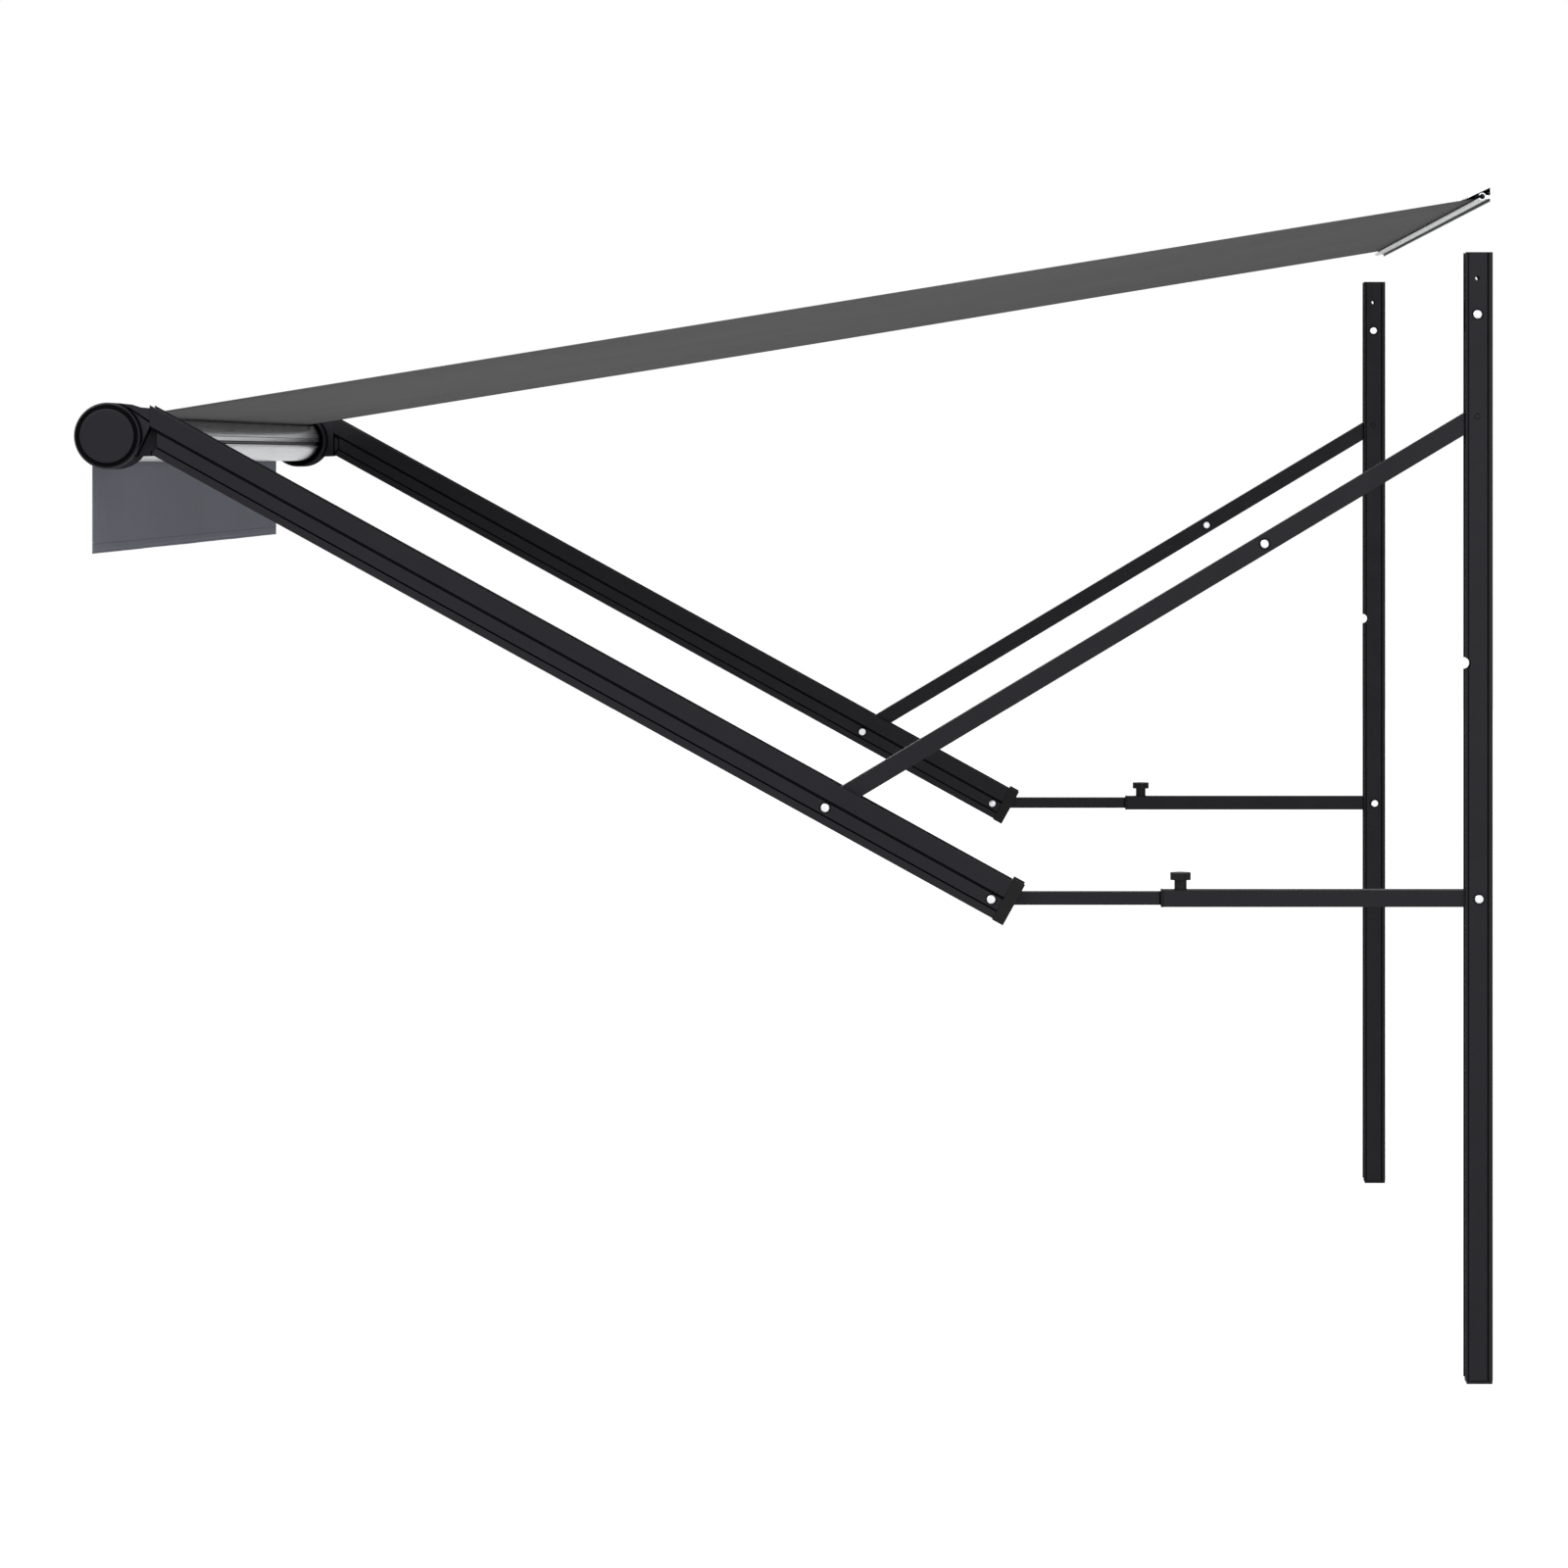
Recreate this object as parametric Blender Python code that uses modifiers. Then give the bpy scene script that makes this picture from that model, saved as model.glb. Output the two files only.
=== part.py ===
"""Canvas patio awning with two folding arm sets, a roller and a wall rail.

Metres, Z up. The wall is the plane y = 0 and the awning reaches out to -Y.
The origin is the middle of the awning rail's back face. Right is +X.
"""
import math

import bmesh
import bpy
from mathutils import Matrix, Vector

# overall
ARM_SPACING = 2.440          # between the mid planes of the two arm sets
SEAT_GAP = 0.0003            # between pieces that touch
RUN_GAP = 0.0003             # radial play of a shaft in its hole

# wall channel
CHANNEL_DEPTH = 0.048
CHANNEL_WIDTH = 0.048
CHANNEL_WALL = 0.003
CHANNEL_TOP_Z = -0.1047
CHANNEL_BOTTOM_Z = -2.0994
LEFT_CHANNEL_RISE = 0.033
SPARE_HOLE_DROP = 0.046
SPARE_HOLE_RADIUS = 0.004
TOP_BOLT_DROP = 0.110
CHANNEL_BOLT_Y = -0.027
NOTCH_RADIUS = 0.0104
CHANNEL_BACK_GROOVE = (-0.0085, 0.0030, 0.0012)    # place, width and depth
CHANNEL_FRONT_GROOVE = (-0.0432, 0.0026, 0.0009)

# pivots of one arm set, as (y, z)
UPPER_PIVOT = (-0.0277, -0.3953)
LOWER_PIVOT = (-0.0242, -1.2482)
ELBOW = (-1.1799, -1.0864)
PITCH_PIVOT = (-0.8866, -1.2482)
ROLLER_AXIS = (-2.4471, -0.4296)
SUPPORT_ARM_SLOPE = math.atan2(UPPER_PIVOT[1] - ELBOW[1], UPPER_PIVOT[0] - ELBOW[0])
MAIN_ARM_SLOPE = math.atan2(ELBOW[1] - PITCH_PIVOT[1], PITCH_PIVOT[0] - ELBOW[0])
STOP_BOLT_REACH = 0.4377
FOLDED_SUPPORT_LEAN = math.radians(2.48)

# support arm
SUPPORT_DEPTH = 0.033
SUPPORT_WIDTH = 0.038
SUPPORT_WALL = 0.0025
SUPPORT_HEEL_RADIUS = 0.0165
SUPPORT_TOE = 0.012

# main arm
MAIN_WIDTH = 0.058
MAIN_WALL = 0.003
MAIN_OPEN_EDGE = 0.0465
MAIN_WEB_FACE = 0.0285
MAIN_FOOT_BEYOND_PIVOT = 0.018
MAIN_BLANK_REACH = math.hypot(ROLLER_AXIS[0] - ELBOW[0], ROLLER_AXIS[1] - ELBOW[1])
CUT_OVER = 0.200             # how far a cutter reaches past the piece it cuts
MAIN_UPPER_GROOVE = (0.0118, 0.0048, 0.0021)
MAIN_LOWER_GROOVE = (-0.0136, 0.0028, 0.0019)
HEAD_CUT_REACH = 0.0741      # from the roller's axis to the arm's cut end
HEAD_CUT_Y = ROLLER_AXIS[0] + HEAD_CUT_REACH
HEAD_RECESS_EDGE = ((0.0908, 0.0118), (0.0874, -0.0193), (0.0753, -0.0349))
CAP_LENGTH = 0.022
CAP_PROUD_UNDER = 0.002
CAP_PROUD_OVER = 0.005
CAP_SLOT_WIDTH = 0.050
CAP_PLUG_LENGTH = 0.020

# pitch arm
TUBE_HEIGHT = 0.030
TUBE_WIDTH = 0.028
TUBE_WALL = 0.0022
TUBE_REACH = 0.558
ROD_HEIGHT = 0.023
ROD_WIDTH = 0.0216
ROD_WALL = 0.0025
ROD_TIP = 0.0115
ROD_INNER_END = 0.430
COLLAR_LENGTH = 0.004
PLUG_LENGTH = 0.030
KNOB_INSET = 0.031           # from the tube's open end to the knob
KNOB_REACH = TUBE_REACH - KNOB_INSET
KNOB_STEM_RADIUS = 0.011
KNOB_STEM_HEIGHT = 0.0172
KNOB_HEAD_RADIUS = 0.0195
KNOB_HEAD_HEIGHT = 0.0126
KNOB_LOBE = 0.0016
KNOB_LOBES = 6

# bolts
BOLT_SHAFT_RADIUS = 0.005
BOLT_HEAD_RADIUS = 0.0075
BOLT_HEAD_HEIGHT = 0.0045
BOLT_SOCKET_RADIUS = 0.0025
NUT_RADIUS = 0.0078
NUT_HEIGHT = 0.0050
PITCH_STUB_INNER = 0.0116
SPACER_RADIUS = 0.009

# roller and heads
TUBE_RADIUS = 0.046
ROLLER_WALL = 0.0022
ROLLER_END_ROOM = 0.020      # from the tube's end to the mid plane of its arm
ROLLER_HALF = ARM_SPACING / 2.0 - ROLLER_END_ROOM
KEDER_POCKET = 0.0044
KEDER_NECK_HALF = 0.0026
SPARE_NECK_HALF = 0.0036
VALANCE_SLOT = 180.0
CANOPY_SLOT = 50.0
SPARE_SLOT = 350.0
KEDER_ANGLES = (VALANCE_SLOT, CANOPY_SLOT, SPARE_SLOT)
MARK_LINE_ANGLE = 5.0
MARK_LINE_DEPTH = 0.0009
HOUSING_RADIUS = 0.0590
HOUSING_WALL = 0.003
HOUSING_INNER_FACE = -0.070
HOUSING_PLATE = 0.0045
HOUSING_OUTER_FACE = 0.0287
COVER_FACE = 0.0410
HEAD_SLOT_HALF = 0.0250
HEAD_SLOT_FLOOR = 0.0360
NECK_RECESS_FLOOR = 0.0120
NECK_RECESS = ((0.0488, -0.0340), (0.0755, 0.0200), (0.1000, 0.0200), (0.1000, -0.0800),
               (0.0488, -0.0800))
NECK_LINE = ((0.0360, 0.0515), (0.0349, 0.0499), (0.0790, 0.0192), (0.0812, 0.0219))
COVER_DISC = 0.0480
COVER_RING = 0.0552
COVER_GROOVE_FLOOR = 0.0050
MOTOR_RADIUS = 0.028
MOTOR_LENGTH = 0.560
MOTOR_END_X = ROLLER_HALF - MOTOR_LENGTH
MOTOR_HEAD_RADIUS = 0.034
MOTOR_HEAD_GAP = 0.003       # from the tube's end to the motor's head
MOTOR_HEAD_TAPER = 0.008
CROWN_RADIUS = 0.0434
CROWN_INSET = 0.010
CROWN_LENGTH = 0.025
AXLE_RADIUS = 0.006
AXLE_LENGTH = 0.030
WHEEL_INSET = 0.004
WHEEL_LENGTH = 0.022
IDLER_INSET = 0.002
IDLER_LENGTH = 0.043
IDLER_PIN_SHORT = 0.005      # how far the pin stops short of the plug's inner end
IDLER_HEAD_RADIUS = 0.016
IDLER_HEAD_LENGTH = 0.006

# cloth and rail
CLOTH_SIDE_ROOM = 0.0865     # from the cloth's side edge to the mid plane of its arm
CLOTH_HALF = ARM_SPACING / 2.0 - CLOTH_SIDE_ROOM
CLOTH_THICKNESS = 0.0012
KEDER_RADIUS = KEDER_POCKET - SEAT_GAP
CLOTH_END_DEPTH = 0.0018 - SEAT_GAP
VALANCE_DROP = 0.211
RAIL_HALF = ARM_SPACING / 2.0
RAIL_TOP_Z = 0.0130
RAIL_BOTTOM_Z = -0.0137
RAIL_FLANGE = 0.0025
RAIL_DRIP_EDGE = (-0.0420, -0.0059)
RAIL_DRIP_WALL = 0.0017
RAIL_WEB = (-0.0092, -0.0030)
RAIL_GROOVE = (-0.0165, -0.0054)
RAIL_GROOVE_OUTER = 0.0068
RAIL_GROOVE_INNER = 0.0048
RAIL_KEDER_RADIUS = RAIL_GROOVE_INNER - SEAT_GAP
RAIL_SLOT_HALF_DEG = 24.0

ROUND_STEPS = 24


def clear_scene():
    """Remove every object that the scene starts with."""
    for obj in list(bpy.data.objects):
        bpy.data.objects.remove(obj, do_unlink=True)


clear_scene()
parts = bpy.data.collections.new("canvas_awning")
cutters = bpy.data.collections.new("cutters")
bpy.context.scene.collection.children.link(parts)
bpy.context.scene.collection.children.link(cutters)


def finish_colour(name, rgb, metallic, roughness):
    """One Principled material for one piece."""
    material = bpy.data.materials.new(name + "_finish")
    material.use_nodes = True
    shader = material.node_tree.nodes["Principled BSDF"]
    shader.inputs["Base Color"].default_value = (rgb[0], rgb[1], rgb[2], 1.0)
    shader.inputs["Metallic"].default_value = metallic
    shader.inputs["Roughness"].default_value = roughness
    return material


BLACK_COAT = ((0.028, 0.027, 0.034), 0.2, 0.45)
ZINC = ((0.75, 0.76, 0.78), 1.0, 0.3)
NYLON = ((0.02, 0.02, 0.022), 0.0, 0.55)
ALUMINIUM = ((0.55, 0.56, 0.58), 1.0, 0.35)
CLOTH = ((0.085, 0.085, 0.09), 0.0, 0.9)
PLASTIC = ((0.8, 0.8, 0.78), 0.0, 0.5)


def outline_mesh(loops, axis, low, high):
    """Flat outline with thickness. Axis X takes (y, z), Y takes (x, z), Z takes (x, y)."""
    curve = bpy.data.curves.new("outline", "CURVE")
    curve.dimensions = "2D"
    curve.fill_mode = "BOTH"
    for loop in loops:
        spline = curve.splines.new("POLY")
        spline.points.add(len(loop) - 1)
        for point, place in zip(spline.points, loop):
            point.co = (place[0], place[1], 0.0, 1.0)
        spline.use_cyclic_u = True
    curve.extrude = (high - low) / 2.0
    obj = bpy.data.objects.new("outline", curve)
    parts.objects.link(obj)
    bpy.context.view_layer.update()
    mesh = bpy.data.meshes.new_from_object(obj.evaluated_get(bpy.context.evaluated_depsgraph_get()))
    bpy.data.objects.remove(obj, do_unlink=True)
    middle = (high + low) / 2.0
    turn = {
        "X": Matrix(((0, 0, 1, middle), (1, 0, 0, 0), (0, 1, 0, 0), (0, 0, 0, 1))),
        "Y": Matrix(((1, 0, 0, 0), (0, 0, -1, middle), (0, 1, 0, 0), (0, 0, 0, 1))),
        "Z": Matrix.Translation((0, 0, middle)),
    }[axis]
    mesh.transform(turn)
    shell = bmesh.new()
    shell.from_mesh(mesh)
    bmesh.ops.remove_doubles(shell, verts=shell.verts, dist=0.00001)
    bmesh.ops.recalc_face_normals(shell, faces=shell.faces)
    shell.to_mesh(mesh)
    shell.free()
    return mesh


def box_mesh(low, high):
    """Box between two corners."""
    shell = bmesh.new()
    bmesh.ops.create_cube(shell, size=1.0)
    for vert in shell.verts:
        for axis in range(3):
            vert.co[axis] = low[axis] if vert.co[axis] < 0 else high[axis]
    mesh = bpy.data.meshes.new("box")
    shell.to_mesh(mesh)
    shell.free()
    return mesh


def rod_mesh(radius, low, high, centre=(0.0, 0.0), axis="X", steps=ROUND_STEPS):
    """Round bar along X or Z, from low to high, with its centre on the other two axes."""
    shell = bmesh.new()
    bmesh.ops.create_cone(shell, cap_ends=True, segments=steps, radius1=radius,
                          radius2=radius, depth=high - low)
    mesh = bpy.data.meshes.new("rod")
    shell.to_mesh(mesh)
    shell.free()
    middle = (low + high) / 2.0
    if axis == "X":
        mesh.transform(Matrix.Rotation(math.radians(90), 4, "Y"))
        mesh.transform(Matrix.Translation((middle, centre[0], centre[1])))
    else:
        mesh.transform(Matrix.Translation((centre[0], centre[1], middle)))
    return mesh


def place(name, mesh, look, location=(0.0, 0.0, 0.0), tilt=0.0):
    """Named piece with its own material, its origin at location, turned about X."""
    obj = bpy.data.objects.new(name, mesh)
    mesh.name = name
    obj.location = location
    obj.rotation_euler = (tilt, 0.0, 0.0)
    parts.objects.link(obj)
    mesh.materials.clear()
    mesh.materials.append(finish_colour(name, look[0], look[1], look[2]))
    return obj


def boolean(obj, mesh, operation="DIFFERENCE", location=None, tilt=None):
    """Add a Boolean with a cutter that shares the piece's own frame unless told otherwise."""
    cutter = bpy.data.objects.new("cutter_" + obj.name, mesh)
    cutter.location = obj.location if location is None else location
    cutter.rotation_euler = (obj.rotation_euler.x if tilt is None else tilt, 0.0, 0.0)
    cutter.hide_render = True
    cutter.display_type = "WIRE"
    cutters.objects.link(cutter)
    modifier = obj.modifiers.new(operation.lower(), "BOOLEAN")
    modifier.operation = operation
    modifier.solver = "EXACT"
    modifier.object = cutter
    return obj


def bevel(obj, width, segments=2):
    """Small round on the sharp edges."""
    modifier = obj.modifiers.new("round", "BEVEL")
    modifier.width = width
    modifier.segments = segments
    modifier.limit_method = "ANGLE"
    modifier.angle_limit = math.radians(50)
    return obj


def smooth(obj):
    """Smooth shading with sharp edges kept."""
    obj.data.shade_smooth()
    obj.data.set_sharp_from_angle(angle=math.radians(35))
    return obj


def turned(name, profile, look, location, steps=32):
    """Piece turned about the X axis from a profile of (radius, x) points."""
    mesh = bpy.data.meshes.new(name)
    edges = [(i, i + 1) for i in range(len(profile) - 1)]
    mesh.from_pydata([(radius, 0.0, height) for radius, height in profile], edges, [])
    obj = place(name, mesh, look, location)
    screw = obj.modifiers.new("turn", "SCREW")
    screw.axis = "Z"
    screw.steps = steps
    screw.render_steps = steps
    screw.use_merge_vertices = True
    screw.merge_threshold = 0.00001
    screw.use_normal_calculate = True
    bpy.context.view_layer.update()
    solid = bpy.data.meshes.new_from_object(obj.evaluated_get(bpy.context.evaluated_depsgraph_get()))
    obj.modifiers.clear()
    solid.transform(Matrix.Rotation(math.radians(90), 4, "Y"))
    shell = bmesh.new()
    shell.from_mesh(solid)
    bmesh.ops.remove_doubles(shell, verts=shell.verts, dist=0.00001)
    bmesh.ops.recalc_face_normals(shell, faces=shell.faces)
    shell.to_mesh(solid)
    shell.free()
    obj.data = solid
    return smooth(obj)


def u_section(width, low, high, wall, web_low, grooves=()):
    """U outline as (x, z) points, web at the low or high side, grooves in both side walls."""
    half = width / 2.0
    inner = half - wall
    if web_low:
        floor, rim, sign = low, high, 1.0
    else:
        floor, rim, sign = high, low, -1.0
    soft = wall * 0.55
    side = [(half - soft * 0.29, floor + sign * soft * 0.29), (half, floor + sign * soft)]
    for height, width, depth in sorted(grooves, key=lambda groove: groove[0] * sign):
        lip = sign * width / 2.0
        bed = sign * (width / 2.0 - depth * 0.15)
        side += [(half, height - lip), (half - depth, height - bed),
                 (half - depth, height + bed), (half, height + lip)]
    side += [(half, rim - sign * soft), (half - soft * 0.29, rim - sign * soft * 0.29),
             (half - soft, rim), (inner, rim), (inner, floor + sign * wall)]
    outline = [(half - soft, floor)] + side
    outline += [(-x, z) for x, z in reversed(side)] + [(-(half - soft), floor)]
    return outline


def bolt_profile(inner_end, grip, head_at, nut=True):
    """Profile of a bolt along X with a domed head, and a nut end when asked for."""
    low = -grip if nut else inner_end
    profile = []
    if nut:
        profile += [(0.0, low - NUT_HEIGHT), (NUT_RADIUS - 0.0012, low - NUT_HEIGHT),
                    (NUT_RADIUS, low - NUT_HEIGHT + 0.0012), (NUT_RADIUS, low),
                    (BOLT_SHAFT_RADIUS, low)]
    else:
        profile += [(0.0, low), (BOLT_SHAFT_RADIUS, low)]
    profile += [(BOLT_SHAFT_RADIUS, head_at), (BOLT_HEAD_RADIUS, head_at),
                (BOLT_HEAD_RADIUS, head_at + BOLT_HEAD_HEIGHT * 0.45),
                (BOLT_HEAD_RADIUS * 0.72, head_at + BOLT_HEAD_HEIGHT * 0.88),
                (BOLT_SOCKET_RADIUS, head_at + BOLT_HEAD_HEIGHT),
                (BOLT_SOCKET_RADIUS, head_at + BOLT_HEAD_HEIGHT * 0.5),
                (0.0, head_at + BOLT_HEAD_HEIGHT * 0.5)]
    return profile


def mirror_profile(profile, side):
    """Profile for the left side, with X turned over."""
    if side > 0:
        return profile
    return [(radius, -height) for radius, height in reversed(profile)]


def bounds_x(side, near, far):
    """Low and high X of a span that is measured outwards from the arm's mid plane."""
    return (near, far) if side > 0 else (-far, -near)


def channel_set(tag, side):
    """Wall channel with its brackets, bolts and pivot pins."""
    centre = side * ARM_SPACING / 2.0
    top = CHANNEL_TOP_Z + (LEFT_CHANNEL_RISE if side < 0 else 0.0)
    half = CHANNEL_WIDTH / 2.0
    section = [(x, z) for x, z in u_section(CHANNEL_WIDTH, -CHANNEL_DEPTH, 0.0, CHANNEL_WALL,
                                            False, (CHANNEL_BACK_GROOVE,
                                                    CHANNEL_FRONT_GROOVE))]
    channel = place(tag + "_wall_channel",
                    outline_mesh([section], "Z", CHANNEL_BOTTOM_Z, top), BLACK_COAT,
                    (centre, 0.0, 0.0))
    over = half + 0.01
    boolean(channel, rod_mesh(SPARE_HOLE_RADIUS, -over, over,
                              (CHANNEL_BOLT_Y, top - SPARE_HOLE_DROP)))
    boolean(channel, rod_mesh(BOLT_SHAFT_RADIUS + RUN_GAP, -over, over,
                              (CHANNEL_BOLT_Y, top - TOP_BOLT_DROP)))
    boolean(channel, rod_mesh(BOLT_SHAFT_RADIUS + RUN_GAP, -over, over, UPPER_PIVOT))
    boolean(channel, rod_mesh(BOLT_SHAFT_RADIUS + RUN_GAP, -over, over, LOWER_PIVOT))
    notch_z = UPPER_PIVOT[1] - STOP_BOLT_REACH * math.cos(FOLDED_SUPPORT_LEAN)
    boolean(channel, rod_mesh(NOTCH_RADIUS, -over, over, (-CHANNEL_DEPTH, notch_z)))

    inner = half - CHANNEL_WALL - SEAT_GAP
    back = -CHANNEL_WALL - SEAT_GAP
    bracket = place(tag + "_top_bracket",
                    outline_mesh([[(-inner, back), (-inner, -0.044), (-inner + 0.003, -0.044),
                                   (-inner + 0.003, back - 0.003), (inner - 0.003, back - 0.003),
                                   (inner - 0.003, -0.044), (inner, -0.044), (inner, back)]],
                                 "Z", top - TOP_BOLT_DROP - 0.030, top - TOP_BOLT_DROP + 0.025),
                    ALUMINIUM, (centre, 0.0, 0.0))
    boolean(bracket, rod_mesh(BOLT_SHAFT_RADIUS + RUN_GAP, -over, over,
                              (CHANNEL_BOLT_Y, top - TOP_BOLT_DROP)))

    grip = half + SEAT_GAP
    turned(tag + "_top_bolt", mirror_profile(bolt_profile(0.0, grip, grip), side), ZINC,
           (centre, CHANNEL_BOLT_Y, top - TOP_BOLT_DROP))
    turned(tag + "_lower_pivot_bolt", mirror_profile(bolt_profile(0.0, grip, grip), side), ZINC,
           (centre, LOWER_PIVOT[0], LOWER_PIVOT[1]))
    flush = half - 0.0002
    turned(tag + "_upper_pivot_pin",
           [(0.0, -flush), (BOLT_SHAFT_RADIUS - 0.0005, -flush), (BOLT_SHAFT_RADIUS, -flush + 0.0005),
            (BOLT_SHAFT_RADIUS, flush - 0.0005), (BOLT_SHAFT_RADIUS - 0.0005, flush), (0.0, flush)],
           BLACK_COAT, (centre, UPPER_PIVOT[0], UPPER_PIVOT[1]))

    foot = place(tag + "_channel_foot",
                 box_mesh((-0.0228, -0.0460, CHANNEL_BOTTOM_Z - 0.0060),
                          (0.0228, -0.0006, CHANNEL_BOTTOM_Z - SEAT_GAP)), BLACK_COAT,
                 (centre, 0.0, 0.0))
    boolean(foot, box_mesh((-inner, -0.0380, CHANNEL_BOTTOM_Z - 0.0050),
                           (inner, back, CHANNEL_BOTTOM_Z + 0.0300)), "UNION")
    boolean(foot, box_mesh((-inner + 0.004, -0.0340, CHANNEL_BOTTOM_Z + 0.0010),
                           (inner - 0.004, back - 0.004, CHANNEL_BOTTOM_Z + 0.0400)))


def support_arm_set(tag, side):
    """Upper folding arm with its stop bolt."""
    centre = side * ARM_SPACING / 2.0
    length = math.hypot(ELBOW[0] - UPPER_PIVOT[0], ELBOW[1] - UPPER_PIVOT[1])
    half_depth = SUPPORT_DEPTH / 2.0
    heel = [(SUPPORT_HEEL_RADIUS * math.cos(math.radians(a)), half_depth * math.sin(math.radians(a)))
            for a in range(-90, 91, 15)]
    toe = length + SUPPORT_TOE
    side_outline = heel + [(-toe + 0.006, half_depth), (-toe, half_depth - 0.006),
                           (-toe, -half_depth + 0.004), (-toe + 0.004, -half_depth)]
    arm = place(tag + "_support_arm",
                outline_mesh([side_outline], "X", -SUPPORT_WIDTH / 2.0, SUPPORT_WIDTH / 2.0),
                BLACK_COAT, (centre, UPPER_PIVOT[0], UPPER_PIVOT[1]), SUPPORT_ARM_SLOPE)
    inner = SUPPORT_WIDTH / 2.0 - SUPPORT_WALL
    boolean(arm, box_mesh((-inner, -toe - 0.02, -half_depth - 0.02),
                          (inner, 0.04, half_depth - SUPPORT_WALL)))
    over = SUPPORT_WIDTH
    boolean(arm, rod_mesh(BOLT_SHAFT_RADIUS + RUN_GAP, -over, over, (0.0, 0.0)))
    boolean(arm, rod_mesh(BOLT_SHAFT_RADIUS + RUN_GAP, -over, over, (-length, 0.0)))
    boolean(arm, rod_mesh(BOLT_SHAFT_RADIUS + RUN_GAP, -over, over, (-STOP_BOLT_REACH, 0.0)))
    grip = SUPPORT_WIDTH / 2.0 + SEAT_GAP
    head = 0.0045
    stop = turned(tag + "_stop_bolt",
                  [(0.0, -grip - head), (BOLT_HEAD_RADIUS - 0.002, -grip - head),
                   (BOLT_HEAD_RADIUS, -grip - head + 0.002), (BOLT_HEAD_RADIUS, -grip),
                   (BOLT_SHAFT_RADIUS, -grip), (BOLT_SHAFT_RADIUS, grip), (BOLT_HEAD_RADIUS, grip),
                   (BOLT_HEAD_RADIUS, grip + head - 0.002),
                   (BOLT_HEAD_RADIUS - 0.002, grip + head), (0.0, grip + head)],
                  ZINC, (centre, UPPER_PIVOT[0] - STOP_BOLT_REACH * math.cos(SUPPORT_ARM_SLOPE),
                         UPPER_PIVOT[1] - STOP_BOLT_REACH * math.sin(SUPPORT_ARM_SLOPE)))
    return arm, stop


def arm_local(y, z):
    """World (y, z) in the main arm's own frame, measured from the elbow."""
    dy, dz = y - ELBOW[0], z - ELBOW[1]
    cos_a, sin_a = math.cos(MAIN_ARM_SLOPE), math.sin(MAIN_ARM_SLOPE)
    return dy * cos_a - dz * sin_a, dy * sin_a + dz * cos_a


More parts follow.
